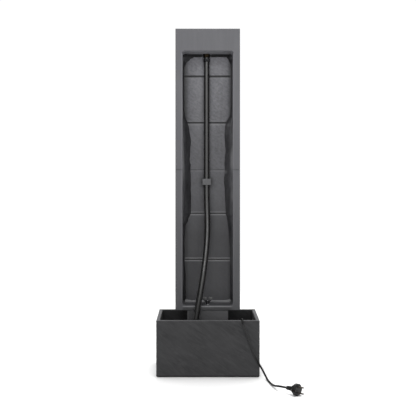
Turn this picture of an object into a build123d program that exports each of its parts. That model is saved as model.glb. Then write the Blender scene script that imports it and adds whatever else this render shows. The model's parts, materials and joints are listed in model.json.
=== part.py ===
from build123d import *
import math
import os

os.makedirs("parts", exist_ok=True)

# Free-standing water wall in millimetres: X to the right as seen from the rear, Y to the water side, Z up
# The origin is on the floor under the middle of the basin

# Basin
basin_width = 352.0
basin_depth = 250.0
basin_height = 193.0
basin_wall = 12.0
basin_floor = 12.0
basin_edge_round = 3.0
basin_inner_round = 9.0
basin_rim_round = 2.5
basin_foot_round = 6.0

# Pedestal that carries the wall above the rim
pedestal_width = 143.0
pedestal_inset = 5.0
pedestal_rise = 23.0
pedestal_wall = 10.0
pedestal_deck = 16.0
pedestal_edge_round = 6.0

# Wall: six slabs from the foot up, bonded to a frame in two sections
overall_height = 1197.0
slab_shares = [0.1713, 0.1682, 0.1596, 0.1727, 0.1693, 0.159]
lower_slab_count = 3
slab_thickness = 16.0
slab_bearing = 3.0
slab_arris = 2.2
seam_arris = 0.6
wall_width = 225.0
wall_set_back = 75.0
frame_depth = 94.0
side_rail = 25.0
top_rail = 79.0
sill_height = 17.0
frame_edge_round = 2.0
hollow_edge_round = 4.0
hollow_head_round = 8.0
hollow_foot_round = 11.0

# Dowels between the frame sections
dowel_diameter = 10.0
dowel_depth = 40.0
dowel_clearance = 0.3

# Water trough in the top rail, with a weir over the top slab
trough_width = 160.0
trough_depth = 60.0
trough_sink = 45.0
trough_corner_round = 10.0
weir_width = 150.0
weir_drop = 8.0
weir_lip_round = 5.0

# Sealing beads between slabs and frame
bead_stations = 23
bead_thin_reach = 9.0
bead_thin_rise = 15.0
bead_wide_reach = 24.0
bead_wide_rise = 78.0
bead_half_span = 172.0
bead_ripple = 1.8
bead_wave = 96.0
bead_smear_fall = 15.0
left_smear_reach = 34.0
right_smear_reach = 15.0
right_bead_phase = 0.37
top_bead_reach = 9.0
top_bead_rise = 12.0
top_bead_gap = 34.0
sill_bead_reach = 8.0
sill_bead_rise = 12.0

# Riser hose, its tail and its clamps
hose_outer = 20.0
hose_bore = 14.0
hose_x = -3.0
hose_stand_off = 2.0
hose_fit = 0.05
hose_run_below_clip = 60.0
hose_run_above_pump = 44.0
hose_swing = [(0, 0, 0), (0.277, -0.095, 0.215), (0.585, 0.3, 0.63), (0.84, 0.83, 0.905), (1, 1, 1)]
tail_collar_height = 12.0
tail_hex = 22.0
tail_barb_length = 24.0
tail_barb_step = 0.9
tail_barb_count = 3
tail_bore = 9.0
tail_thread = 13.0
tail_thread_clearance = 0.2
tail_nut_hex = 20.0
tail_nut_height = 7.0
tail_thread_end = 3.0
clamp_width = 9.0
clamp_band = 1.2
clamp_end_space = 6.0
clamp_box_width = 9.0
clamp_box_length = 13.0
clamp_box_foot = 6.5
clamp_box_stand = 6.0
clamp_screw_diameter = 6.0
clamp_screw_length = 4.0

# Clip that holds the hose to the third slab
clip_width = 31.0
clip_height = 21.5
clip_wall = 4.0
clip_clearance = 0.3
clip_round = 2.0
clip_below_joint = 43.0

# Fixing bolt through pedestal and sill
bolt_diameter = 6.0
bolt_hole_clearance = 0.3
bolt_set_in = 28.0
bolt_head_diameter = 16.0
bolt_head_height = 4.0
bolt_head_round = 2.0
bolt_end = 3.0
bolt_end_bevel = 0.75
washer_diameter = 18.0
washer_thickness = 1.6
nut_hub_diameter = 12.0
nut_hub_top_diameter = 10.0
nut_hub_height = 10.0
nut_span = 33.0
nut_height = 24.0
nut_wing_thickness = 3.2
nut_wing_foot = 2.0
nut_wing_crown = 13.5
nut_elbow_reach = 8.0
nut_elbow_lift = 6.0
nut_tip_drop = 7.5
nut_tip_lean = 1.3
nut_notch_width = 8.0
nut_tip_round = 1.5
thread_running_clearance = 0.05

# Pump, its axis along X
pump_outlet_x = -47.0
pump_width = 48.0
pump_height = 52.0
pump_corner_round = 9.0
motor_length = 56.0
motor_step = 2.0
neck_edge_gap = 1.0
spigot_length = 5.0
cover_length = 30.0
cover_wall = 2.0
cover_clearance = 0.15
chamber_diameter = 34.0
chamber_depth = 20.0
volute_plate_diameter = 38.0
volute_plate_thickness = 3.0
volute_inlet = 15.0
volute_hub_diameter = 7.0
volute_spoke = 2.4
volute_spokes = 3
plate_clearance = 0.1
rotor_diameter = 21.0
rotor_length = 34.0
rotor_gap = 0.8
rotor_end_gap = 1.0
impeller_diameter = 29.0
impeller_disc = 2.0
impeller_blade_height = 12.0
impeller_blade_thickness = 1.6
impeller_blades = 6
impeller_hub_diameter = 8.0
shaft_diameter = 3.0
shaft_running_clearance = 0.05
bush_diameter = 6.4
bush_length = 4.0
neck_diameter = 22.0
neck_height = 12.0
nipple_spigot_diameter = 16.0
nipple_spigot_length = 9.0
nipple_flange_height = 3.0
nipple_bore = 9.0
nipple_clearance = 0.1
slot_inner = 7.5
slot_outer = 16.5
slot_width = 3.6
slot_count = 8
side_slot_length = 9.0
side_slot_width = 3.0
side_slot_pitch = 6.5
side_slot_count = 5
regulator_disc_diameter = 37.0
regulator_disc_thickness = 1.6
regulator_stem_diameter = 6.0
regulator_clearance = 0.06
regulator_gap = 0.4
regulator_knob_diameter = 11.0
regulator_knob_height = 3.0
regulator_grip_length = 9.9
regulator_grip_width = 2.6
regulator_grip_height = 4.0
foot_height = 6.0
foot_diameter = 15.0
foot_neck_diameter = 10.0
foot_stem_diameter = 5.0
foot_stem_length = 4.0
foot_clearance = 0.1
foot_cup_sink = 2.5
foot_lip = 1.25
foot_inset = 10.0
gland_length = 22.0
gland_large_diameter = 13.0
gland_lift = 8.0
gland_ring_count = 4

# Mains cord and plug
cord_diameter = 6.5
cord_floor_gap = 0.35
cord_rim_x = 116.0
arch_radius = 21.0
arch_drop = 17.2
arch_drift = 1.8
bend_share = 0.45
cord_climb = [
    (0.286, 0, 0),
    (0.65, 0.158, 0.105),
    (0.883, 0.474, 0.347),
    (0.952, 0.74, 0.573),
    (0.98, 0.947, 0.8),
]
cord_drop = [(10, 15.4, 0.83), (22.5, 10.5, 0.663), (36, 6.5, 0.466), (52, 6.5, 0.285), (69, 14, 0.145)]
cord_approach = [(80, 32, 0.234), (83.5, 62, 0), (89, 100, 0), (95, 137, 0.164)]
cord_lift = [(101, 171, 0.561), (110, 201, 1), (131, 220, 1)]
plug_head_diameter = 37.4
plug_head_length = 14.0
plug_grip_length = 9.0
plug_boot_length = 22.0
plug_boot_small_diameter = 12.0
plug_boot_large_diameter = 16.0
plug_grip_diameter = 25.0
plug_floor_gap = 0.3
plug_edge_round = 2.0
plug_boot_ring_count = 4
ring_depth = 1.0
pin_diameter = 4.8
pin_length = 19.0
pin_spacing = 19.0
pin_tip_round = 1.6
pin_root_diameter = 6.4
pin_root_length = 6.0
earth_hole_offset = 10.0
earth_strip_width = 6.0
earth_strip_thickness = 1.2

# Heights and planes that follow from the sizes above
wall_foot = basin_height + pedestal_rise
wall_top = overall_height
slab_heights = [(wall_top - wall_foot) * share / sum(slab_shares) for share in slab_shares]
frame_joint = wall_foot + sum(slab_heights[:lower_slab_count])
pedestal_depth = frame_depth - pedestal_inset + slab_bearing
rear_face = -basin_depth / 2
wall_rear = rear_face + wall_set_back
slab_back = wall_rear + frame_depth
wall_front = slab_back + slab_thickness
hollow_width = wall_width - 2 * side_rail
hollow_floor = wall_foot + sill_height
hollow_ceiling = wall_top - top_rail
trough_floor = wall_top - trough_sink
pedestal_rear = wall_rear + pedestal_inset
pedestal_middle = pedestal_rear + pedestal_depth / 2
deck_underside = wall_foot - pedestal_deck
hose_y = slab_back - hose_stand_off - hose_outer / 2
hose_top = hollow_ceiling - tail_collar_height
barb_radius = hose_bore / 2 - hose_fit
bolt_y = wall_rear + bolt_set_in
pump_y = (rear_face + basin_wall + pedestal_rear) / 2
pump_base = basin_floor + foot_height
pump_axis_z = pump_base + pump_height / 2
pump_top = pump_base + pump_height
cover_rear = pump_outlet_x - neck_diameter / 2 - neck_edge_gap
cover_front = cover_rear - cover_length
volute_front = cover_rear - spigot_length
volute_rear = pump_outlet_x + neck_diameter / 2 + neck_edge_gap
motor_end = volute_rear + motor_length
chamber_front = volute_front + volute_plate_thickness
chamber_rear = chamber_front + chamber_depth
rotor_well_end = chamber_rear + rotor_length + 2 * rotor_end_gap
neck_top = pump_top + neck_height
hose_foot = neck_top + nipple_flange_height
cord_radius = cord_diameter / 2
plug_length = plug_boot_length + plug_grip_length + plug_head_length
plug_z = plug_head_diameter / 2 + plug_floor_gap

rear_plane = Plane(origin=(0, wall_rear, 0), x_dir=(1, 0, 0), z_dir=(0, -1, 0))


def save(piece, node):
    piece.part.label = node
    export_step(piece.part, f"parts/{node}.step")


def pump_section(x):
    return Plane(origin=(x, pump_y, pump_axis_z), x_dir=(0, 1, 0), z_dir=(1, 0, 0))


def upright_section(x, y):
    return Plane(origin=(x, y, 0), x_dir=(1, 0, 0), z_dir=(0, -1, 0))


def bend_radii(points):
    radii = []
    for before, corner, after in zip(points, points[1:], points[2:]):
        incoming = Vector(corner) - Vector(before)
        outgoing = Vector(after) - Vector(corner)
        half_turn = math.radians(incoming.get_angle(outgoing) / 2)
        radii.append(bend_share * min(incoming.length, outgoing.length) / math.tan(half_turn))
    return radii


def barb_outline(inner, foot, upward):
    # Closed half outline of a barbed tube whose teeth hold against the way that upward points
    tooth = tail_barb_length / tail_barb_count
    outline = [(inner, foot)]
    for number in range(tail_barb_count):
        low = foot + upward * tooth * number
        outline.append((barb_radius - tail_barb_step, low))
        outline.append((barb_radius, low + upward * tooth))
    outline.append((inner, foot + upward * tail_barb_length))
    return outline


# Basin
with BuildPart() as basin:
    with BuildSketch():
        RectangleRounded(basin_width, basin_depth, basin_edge_round)
    extrude(amount=basin_height)
    fillet(basin.faces().sort_by(Axis.Z)[0].edges(), basin_foot_round)
    with BuildSketch(Plane.XY.offset(basin_floor)):
        RectangleRounded(basin_width - 2 * basin_wall, basin_depth - 2 * basin_wall, basin_inner_round)
    extrude(amount=basin_height - basin_floor, mode=Mode.SUBTRACT)
    fillet(basin.faces().sort_by(Axis.Z)[-1].edges(), basin_rim_round)
save(basin, "basin")

# Pedestal, a shell that is open below
with BuildPart() as pedestal:
    with BuildSketch(Plane.XY.offset(basin_floor)):
        with Locations((0, pedestal_middle)):
            RectangleRounded(pedestal_width, pedestal_depth, pedestal_edge_round)
    extrude(amount=wall_foot - basin_floor)
    with BuildSketch(Plane.XY.offset(basin_floor)):
        with Locations((0, pedestal_middle)):
            Rectangle(pedestal_width - 2 * pedestal_wall, pedestal_depth - 2 * pedestal_wall)
    extrude(amount=deck_underside - basin_floor, mode=Mode.SUBTRACT)
    with BuildSketch(Plane.XY.offset(deck_underside)):
        with Locations((0, bolt_y)):
            Circle(bolt_diameter / 2 + bolt_hole_clearance)
    extrude(amount=pedestal_deck, mode=Mode.SUBTRACT)
save(pedestal, "pedestal")

# Lower frame section: sill and two rails
with BuildPart() as frame_lower:
    with BuildSketch(rear_plane) as lower_outline:
        with Locations((0, (wall_foot + frame_joint) / 2)):
            Rectangle(wall_width, frame_joint - wall_foot)
        with Locations((0, (hollow_floor + frame_joint) / 2)):
            Rectangle(hollow_width, frame_joint - hollow_floor, mode=Mode.SUBTRACT)
        fillet(lower_outline.vertices().group_by(Axis.Y)[1], hollow_foot_round)
    extrude(amount=-frame_depth)
    lower_rear_edges = frame_lower.faces().sort_by(Axis.Y)[0].edges()
    lower_rear_edges = lower_rear_edges.filter_by_position(Axis.Z, 0, frame_joint - seam_arris)
    lower_outer_edges = lower_rear_edges.group_by(Axis.X)[0] + lower_rear_edges.group_by(Axis.X)[-1]
    lower_outer_edges += lower_rear_edges.group_by(Axis.Z)[0]
    fillet(lower_outer_edges, frame_edge_round)
    fillet([edge for edge in lower_rear_edges if edge not in lower_outer_edges], hollow_edge_round)
    chamfer(frame_lower.faces().group_by(Axis.Z)[-1].edges(), seam_arris)
    with BuildSketch(Plane.XY.offset(wall_foot)):
        with Locations((0, bolt_y)):
            Circle(bolt_diameter / 2 + bolt_hole_clearance)
    extrude(amount=sill_height, mode=Mode.SUBTRACT)
    with BuildSketch(Plane.XY.offset(frame_joint)):
        with Locations((0, wall_rear + frame_depth / 2)):
            with GridLocations(wall_width - side_rail, 0, 2, 1):
                Circle(dowel_diameter / 2 + dowel_clearance)
    extrude(amount=-dowel_depth, mode=Mode.SUBTRACT)
save(frame_lower, "frame_lower")

# Upper frame section: two rails and a top rail with the water trough
with BuildPart() as frame_upper:
    with BuildSketch(rear_plane) as upper_outline:
        with Locations((0, (frame_joint + wall_top) / 2)):
            Rectangle(wall_width, wall_top - frame_joint)
        with Locations((0, (frame_joint + hollow_ceiling) / 2)):
            Rectangle(hollow_width, hollow_ceiling - frame_joint, mode=Mode.SUBTRACT)
        fillet(upper_outline.vertices().group_by(Axis.Y)[1], hollow_head_round)
    extrude(amount=-frame_depth)
    upper_rear_edges = frame_upper.faces().sort_by(Axis.Y)[0].edges()
    upper_rear_edges = upper_rear_edges.filter_by_position(Axis.Z, frame_joint + seam_arris, wall_top)
    upper_outer_edges = upper_rear_edges.group_by(Axis.X)[0] + upper_rear_edges.group_by(Axis.X)[-1]
    upper_outer_edges += upper_rear_edges.group_by(Axis.Z)[-1]
    fillet(upper_outer_edges, frame_edge_round)
    fillet([edge for edge in upper_rear_edges if edge not in upper_outer_edges], hollow_edge_round)
    chamfer(frame_upper.faces().group_by(Axis.Z)[0].edges(), seam_arris)
    with BuildSketch(Plane.XY.offset(wall_top)) as trough_outline:
        with Locations((0, slab_back - trough_depth / 2)):
            Rectangle(trough_width, trough_depth)
        fillet(trough_outline.vertices().group_by(Axis.Y)[0], trough_corner_round)
    extrude(amount=-trough_sink, mode=Mode.SUBTRACT)
    with BuildSketch(Plane.XY.offset(hollow_ceiling)):
        with Locations((hose_x, hose_y)):
            Circle(tail_thread / 2 + tail_thread_clearance)
    extrude(amount=trough_floor - hollow_ceiling, mode=Mode.SUBTRACT)
    with BuildSketch(Plane.XY.offset(frame_joint)):
        with Locations((0, wall_rear + frame_depth / 2)):
            with GridLocations(wall_width - side_rail, 0, 2, 1):
                Circle(dowel_diameter / 2 + dowel_clearance)
    extrude(amount=dowel_depth, mode=Mode.SUBTRACT)
save(frame_upper, "frame_upper")

# Dowels, one in each rail
with BuildPart() as frame_dowels:
    with BuildSketch(Plane.XY.offset(frame_joint - dowel_depth)):
        with Locations((0, wall_rear + frame_depth / 2)):
            with GridLocations(wall_width - side_rail, 0, 2, 1):
                Circle(dowel_diameter / 2)
    extrude(amount=2 * dowel_depth)
save(frame_dowels, "frame_dowels")

# Slabs, bedded on each other with eased edges
slab_foot = wall_foot
for number, height in enumerate(slab_heights, start=1):
    with BuildPart() as slab:
        with BuildSketch(Plane.XY.offset(slab_foot)):
            with Locations((0, (slab_back + wall_front) / 2)):
                Rectangle(wall_width, slab_thickness)
        extrude(amount=height)
        low_arris = seam_arris if number == lower_slab_count + 1 else slab_arris
        chamfer(slab.edges().filter_by(Axis.X).group_by(Axis.Z)[0], low_arris)
        high_arris = seam_arris if number == lower_slab_count else slab_arris
        chamfer(slab.edges().filter_by(Axis.X).group_by(Axis.Z)[-1], high_arris)
        if number == len(slab_heights):
            with BuildSketch(Plane.XZ.offset(-slab_back)):
                with Locations((0, wall_top - weir_drop / 2)):
                    Rectangle(weir_width, weir_drop)
            extrude(amount=-slab_thickness, mode=Mode.SUBTRACT)
            weir_edges = slab.edges().filter_by(Axis.X).filter_by_position(
                Axis.Z, wall_top - weir_drop - seam_arris, wall_top - weir_drop + seam_arris
            )
            fillet(weir_edges.sort_by(Axis.Y)[-1], weir_lip_round)
    save(slab, f"slab_{number}")
    slab_foot += height


# Sealing beads: triangular runs whose size swells across the frame joint
def side_bead_section(side, z, phase, smear_reach):
    swell = math.exp(-(((z - frame_joint) / bead_half_span) ** 6))
    ripple = bead_ripple * math.sin(2 * math.pi * (z / bead_wave + phase))
    smear = smear_reach * math.exp((z - hollow_ceiling) / bead_smear_fall)
    reach = bead_thin_reach + (bead_wide_reach - bead_thin_reach) * swell + ripple + smear
    rise = bead_thin_rise + (bead_wide_rise - bead_thin_rise) * swell + ripple
    corner = side * hollow_width / 2
    return [(corner, slab_back), (corner - side * reach, slab_back), (corner, slab_back - rise)]


bead_heights = []
for step in range(bead_stations):
    share = step / (bead_stations - 1)
    bead_heights.append(hollow_floor + share * (hollow_ceiling - hollow_floor))

with BuildPart() as left_seal_bead:
    for z in bead_heights:
        with BuildSketch(Plane.XY.offset(z)):
            with BuildLine():
                Polyline(*side_bead_section(-1, z, 0, left_smear_reach), close=True)
            make_face()
    loft(ruled=True)
    add(frame_lower.part, mode=Mode.SUBTRACT)
    add(frame_upper.part, mode=Mode.SUBTRACT)
save(left_seal_bead, "left_seal_bead")

with BuildPart() as right_seal_bead:
    for z in bead_heights:
        with BuildSketch(Plane.XY.offset(z)):
            with BuildLine():
                Polyline(*side_bead_section(1, z, right_bead_phase, right_smear_reach), close=True)
            make_face()
    loft(ruled=True)
    add(frame_lower.part, mode=Mode.SUBTRACT)
    add(frame_upper.part, mode=Mode.SUBTRACT)
save(right_seal_bead, "right_seal_bead")

with BuildPart() as top_seal_bead:
    for side in (-1, 1):
        with BuildSketch(Plane.YZ.offset(hose_x + side * top_bead_gap / 2)):
            with BuildLine():
                Polyline(
                    (slab_back, hollow_ceiling),
                    (slab_back, hollow_ceiling - top_bead_reach),
                    (slab_back - top_bead_rise, hollow_ceiling),
                    close=True,
                )
            make_face()
        extrude(amount=side * (hollow_width - top_bead_gap) / 2 - hose_x)
    add(left_seal_bead.part, mode=Mode.SUBTRACT)
    add(right_seal_bead.part, mode=Mode.SUBTRACT)
    add(frame_upper.part, mode=Mode.SUBTRACT)
save(top_seal_bead, "top_seal_bead")

with BuildPart() as sill_seal_bead:
    with BuildSketch(Plane.YZ.offset(-hollow_width / 2)):
        with BuildLine():
            Polyline(
                (slab_back, hollow_floor),
                (slab_back, hollow_floor + sill_bead_reach),
                (slab_back - sill_bead_rise, hollow_floor),
                close=True,
            )
        make_face()
    extrude(amount=hollow_width)
    add(left_seal_bead.part, mode=Mode.SUBTRACT)
    add(right_seal_bead.part, mode=Mode.SUBTRACT)
    add(frame_lower.part, mode=Mode.SUBTRACT)
save(sill_seal_bead, "sill_seal_bead")

# Hose clip, a bridge over the hose
clip_stand = slab_back - hose_y + hose_outer / 2 + clip_clearance + clip_wall
clip_middle = frame_joint - clip_below_joint
with BuildPart() as hose_clip:
    with BuildSketch(Plane.XY.offset(clip_middle - clip_height / 2)) as clip_outline:
        with Locations((hose_x, slab_back - clip_stand / 2)):
            Rectangle(clip_width, clip_stand)
        fillet(clip_outline.vertices().group_by(Axis.Y)[0], clip_round)
        with Locations((hose_x, hose_y)):
            Circle(hose_outer / 2 + clip_clearance, mode=Mode.SUBTRACT)
        with Locations((hose_x, (hose_y + slab_back) / 2)):
            Rectangle(hose_outer + 2 * clip_clearance, slab_back - hose_y, mode=Mode.SUBTRACT)
    extrude(amount=clip_height)
save(hose_clip, "hose_clip")

# Riser hose: straight down the slabs to below the clip, then out over the sill to the pump outlet
hose_bend_top = clip_middle - hose_run_below_clip
hose_bend_foot = hose_foot + hose_run_above_pump
hose_points = [(hose_x, hose_y, hose_top)]
for down, across, out in hose_swing:
    hose_points.append(
        (
            hose_x + across * (pump_outlet_x - hose_x),
            hose_y + out * (pump_y - hose_y),
            hose_bend_top + down * (hose_bend_foot - hose_bend_top),
        )
    )
hose_points.append((pump_outlet_x, pump_y, hose_foot))
hose_radii = bend_radii(hose_points)
with BuildPart() as riser_hose:
    with BuildLine() as hose_route:
        FilletPolyline(*hose_points, radius=hose_radii)
    with BuildSketch(Plane(origin=hose_points[0], z_dir=(0, 0, -1))):
        Circle(hose_outer / 2)
        Circle(hose_bore / 2, mode=Mode.SUBTRACT)
    sweep()
save(riser_hose, "riser_hose")
hose_length = hose_route.wire().length
hose_section = math.pi * (hose_outer**2 - hose_bore**2) / 4
print("hose bends", [round(r) for r in hose_radii], "length", round(hose_length))
print("hose volume over section times length", riser_hose.part.volume / (hose_section * hose_length))

# Hose tail: barbs, hexagon collar and thread through the top rail
tail_top = trough_floor + tail_nut_height + tail_thread_end
with BuildPart() as hose_tail:
    with BuildSketch(upright_section(hose_x, hose_y)):
        with BuildLine():
            Polyline(*barb_outline(tail_bore / 2, hose_top - tail_barb_length, 1), close=True)
        make_face()
    revolve(axis=Axis((hose_x, hose_y, 0), (0, 0, 1)))
    with BuildSketch(Plane.XY.offset(hose_top)):
        with Locations((hose_x, hose_y)):
            RegularPolygon(tail_hex / 2, 6, major_radius=False)
            Circle(tail_bore / 2, mode=Mode.SUBTRACT)
    extrude(amount=tail_collar_height)
    with BuildSketch(Plane.XY.offset(hollow_ceiling)):
        with Locations((hose_x, hose_y)):
            Circle(tail_thread / 2)
            Circle(tail_bore / 2, mode=Mode.SUBTRACT)
    extrude(amount=tail_top - hollow_ceiling)
save(hose_tail, "hose_tail")

with BuildPart() as hose_tail_nut:
    with BuildSketch(Plane.XY.offset(trough_floor)):
        with Locations((hose_x, hose_y)):
            RegularPolygon(tail_nut_hex / 2, 6, major_radius=False)
            Circle(tail_thread / 2 + tail_thread_clearance, mode=Mode.SUBTRACT)
    extrude(amount=tail_nut_height)
save(hose_tail_nut, "hose_tail_nut")


# Hose clamps: band, screw box and screw head
def hose_clamp(x, y, middle):
    band_inner = hose_outer / 2 + hose_fit
    box_face = y - band_inner - clamp_band / 2
    with BuildPart() as clamp:
        with BuildSketch(Plane.XY.offset(middle - clamp_width / 2)):
            with Locations((x, y)):
                Circle(band_inner + clamp_band)
                Circle(band_inner, mode=Mode.SUBTRACT)
        extrude(amount=clamp_width)
        with BuildSketch(Plane.XY.offset(middle - clamp_box_width / 2)):
            with Locations((x, box_face - clamp_box_stand / 2)):
                Rectangle(clamp_box_length, clamp_box_stand)
                with Locations((0, clamp_box_stand / 2)):
                    Rectangle(clamp_box_foot, clamp_band)
        extrude(amount=clamp_box_width)
        with BuildSketch(Plane.YZ.offset(x + clamp_box_length / 2)):
            with Locations((box_face - clamp_box_stand / 2, middle)):
                Circle(clamp_screw_diameter / 2)
        extrude(amount=clamp_screw_length)
        with BuildSketch(Plane.XY.offset(middle - clamp_width)):
            with Locations((x, y)):
                Circle(band_inner)
        extrude(amount=2 * clamp_width, mode=Mode.SUBTRACT)
    return clamp


top_hose_clamp = hose_clamp(hose_x, hose_y, hose_top - clamp_end_space - clamp_width / 2)
save(top_hose_clamp, "top_hose_clamp")

pump_hose_clamp = hose_clamp(pump_outlet_x, pump_y, hose_foot + clamp_end_space + clamp_width / 2)
save(pump_hose_clamp, "pump_hose_clamp")

# Fixing bolt, washer and wing nut
nut_foot = hollow_floor + washer_thickness
bolt_axis = Axis((0, bolt_y, 0), (0, 0, 1))
with BuildPart() as fixing_bolt:
    with BuildSketch(Plane.XY.offset(deck_underside - bolt_head_height)):
        with Locations((0, bolt_y)):
            Circle(bolt_head_diameter / 2)
    extrude(amount=bolt_head_height)
    fillet(fixing_bolt.faces().sort_by(Axis.Z)[0].edges(), bolt_head_round)
    with BuildSketch(Plane.XY.offset(deck_underside)):
        with Locations((0, bolt_y)):
            Circle(bolt_diameter / 2)
    extrude(amount=nut_foot + nut_hub_height + bolt_end - deck_underside)
    chamfer(fixing_bolt.faces().sort_by(Axis.Z)[-1].edges(), bolt_end_bevel)
save(fixing_bolt, "fixing_bolt")

with BuildPart() as fixing_washer:
    with BuildSketch(Plane.XY.offset(hollow_floor)):
        with Locations((0, bolt_y)):
            Circle(washer_diameter / 2)
            Circle(bolt_diameter / 2 + bolt_hole_clearance, mode=Mode.SUBTRACT)
    extrude(amount=washer_thickness)
save(fixing_washer, "fixing_washer")

with BuildPart() as wing_nut:
    with BuildSketch(upright_section(0, bolt_y)):
        with BuildLine():
            Polyline(
                (0, nut_foot),
                (nut_hub_diameter / 2, nut_foot),
                (nut_hub_top_diameter / 2, nut_foot + nut_hub_height),
                (0, nut_foot + nut_hub_height),
                close=True,
            )
        make_face()
    revolve(axis=bolt_axis)
    with BuildSketch(upright_section(0, bolt_y)) as wing_outline:
        with BuildLine():
            Polyline(
                (0, nut_foot + nut_wing_foot),
                (nut_elbow_reach, nut_foot + nut_elbow_lift),
                (nut_span / 2, nut_foot + nut_height - nut_tip_drop),
                (nut_span / 2 - nut_tip_lean, nut_foot + nut_height),
                (nut_notch_width / 2, nut_foot + nut_height),
                (nut_notch_width / 2, nut_foot + nut_wing_crown),
                (0, nut_foot + nut_wing_crown),
                close=True,
            )
        make_face()
        wing_tips = wing_outline.vertices().group_by(Axis.Y)[-2:]
        fillet([tip for group in wing_tips for tip in group], nut_tip_round)
        mirror(about=Plane.YZ)
    extrude(amount=nut_wing_thickness / 2, both=True)
    with BuildSketch(Plane.XY.offset(nut_foot)):
        with Locations((0, bolt_y)):
            Circle(bolt_diameter / 2 + thread_running_clearance)
    extrude(amount=nut_height, mode=Mode.SUBTRACT)
save(wing_nut, "wing_nut")

# Pump housing: stepped motor block, volute block with a spigot for the intake cover, outlet neck
spigot_step = cover_wall + cover_clearance
rotor_well_radius = rotor_diameter / 2 + rotor_gap
with BuildPart() as pump_housing:
    with BuildSketch(pump_section(volute_front)):
        RectangleRounded(
            pump_width - 2 * spigot_step, pump_height - 2 * spigot_step, pump_corner_round - spigot_step
        )
    extrude(amount=spigot_length)
    with BuildSketch(pump_section(cover_rear)):
        RectangleRounded(pump_width, pump_height, pump_corner_round)
    extrude(amount=volute_rear - cover_rear)
    with BuildSketch(pump_section(volute_rear)):
        RectangleRounded(
            pump_width - 2 * motor_step, pump_height - 2 * motor_step, pump_corner_round - motor_step
        )
    extrude(amount=motor_length)
    fillet(pump_housing.faces().sort_by(Axis.X)[-1].edges(), motor_step)
    with BuildSketch(Plane.XY.offset(pump_axis_z)):
        with Locations((pump_outlet_x, pump_y)):
            Circle(neck_diameter / 2)
    extrude(amount=neck_top - pump_axis_z)
    with BuildSketch(pump_section(volute_front)):
        Circle(volute_plate_diameter / 2 + plate_clearance)
    extrude(amount=volute_plate_thickness, mode=Mode.SUBTRACT)
    with BuildSketch(pump_section(chamber_front)):
        Circle(chamber_diameter / 2)
    extrude(amount=chamber_depth, mode=Mode.SUBTRACT)
    with BuildSketch(pump_section(chamber_rear)):
        Circle(rotor_well_radius)
    extrude(amount=rotor_well_end - chamber_rear, mode=Mode.SUBTRACT)
    with BuildSketch(pump_section(rotor_well_end)):
        Circle(bush_diameter / 2 + plate_clearance)
    extrude(amount=bush_length, mode=Mode.SUBTRACT)
    with BuildSketch(Plane.XY.offset(pump_axis_z)):
        with Locations((pump_outlet_x, pump_y)):
            Circle(nipple_bore / 2)
    extrude(amount=neck_top - pump_axis_z, mode=Mode.SUBTRACT)
    with BuildSketch(Plane.XY.offset(neck_top)):
        with Locations((pump_outlet_x, pump_y)):
            Circle(nipple_spigot_diameter / 2 + nipple_clearance)
    extrude(amount=-nipple_spigot_length, mode=Mode.SUBTRACT)
    foot_span_x = motor_end - cover_rear - 2 * foot_inset
    foot_span_y = pump_width - 2 * motor_step - 2 * foot_inset
    foot_middle_x = (motor_end + cover_rear) / 2
    foot_seat = pump_base + motor_step
    with BuildSketch(Plane.XY.offset(foot_seat + foot_stem_length)):
        with Locations((foot_middle_x, pump_y)):
            with GridLocations(foot_span_x, foot_span_y, 2, 2):
                Circle(foot_stem_diameter / 2 + foot_clearance)
    extrude(amount=-foot_stem_length - motor_step, mode=Mode.SUBTRACT)
save(pump_housing, "pump_housing")

# Suction feet with their stems up in the housing
with BuildPart() as suction_feet:
    for foot_side_x in (-1, 1):
        for foot_side_y in (-1, 1):
            foot_x = foot_middle_x + foot_side_x * foot_span_x / 2
            foot_y = pump_y + foot_side_y * foot_span_y / 2
            foot_top = pump_base if foot_side_x < 0 else foot_seat
            with BuildSketch(upright_section(foot_x, foot_y)):
                with BuildLine():
                    Polyline(
                        (0, basin_floor + foot_cup_sink),
                        (foot_diameter / 2, basin_floor),
                        (foot_diameter / 2, basin_floor + foot_lip),
                        (foot_neck_diameter / 2, foot_top - foot_lip),
                        (foot_neck_diameter / 2, foot_top),
                        (foot_stem_diameter / 2, foot_top),
                        (foot_stem_diameter / 2, foot_seat + foot_stem_length),
                        (0, foot_seat + foot_stem_length),
                        close=True,
                    )
                make_face()
            revolve(axis=Axis((foot_x, foot_y, 0), (0, 0, 1)))
save(suction_feet, "suction_feet")

# Volute cover plate with an inlet and a spoked bush seat
with BuildPart() as volute_cover:
    with BuildSketch(pump_section(volute_front)):
        Circle(volute_plate_diameter / 2)
        Circle(volute_inlet / 2, mode=Mode.SUBTRACT)
        with PolarLocations(0, volute_spokes):
            with Locations((volute_inlet / 4, 0)):
                Rectangle(volute_inlet / 2 + volute_spoke, volute_spoke)
        Circle(volute_hub_diameter / 2)
        Circle(shaft_diameter / 2 + shaft_running_clearance, mode=Mode.SUBTRACT)
    extrude(amount=volute_plate_thickness)
save(volute_cover, "volute_cover")

# Impeller with its magnet sleeve
impeller_disc_rear = chamber_rear - rotor_end_gap
impeller_disc_front = impeller_disc_rear - impeller_disc
impeller_front = impeller_disc_front - impeller_blade_height
with BuildPart() as impeller:
    with BuildSketch(pump_section(impeller_disc_front)):
        Circle(impeller_diameter / 2)
    extrude(amount=impeller_disc)
    with BuildSketch(pump_section(impeller_front)):
        Circle(impeller_hub_diameter / 2)
        with PolarLocations(0, impeller_blades):
            with Locations((impeller_diameter / 4, 0)):
                Rectangle(impeller_diameter / 2, impeller_blade_thickness)
        Circle(impeller_diameter / 2, mode=Mode.INTERSECT)
    extrude(amount=impeller_blade_height)
    with BuildSketch(pump_section(impeller_disc_rear)):
        Circle(rotor_diameter / 2)
    extrude(amount=rotor_length)
    with BuildSketch(pump_section(impeller_front)):
        Circle(shaft_diameter / 2 + shaft_running_clearance)
    extrude(amount=rotor_length + chamber_depth, mode=Mode.SUBTRACT)
save(impeller, "impeller")

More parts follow.
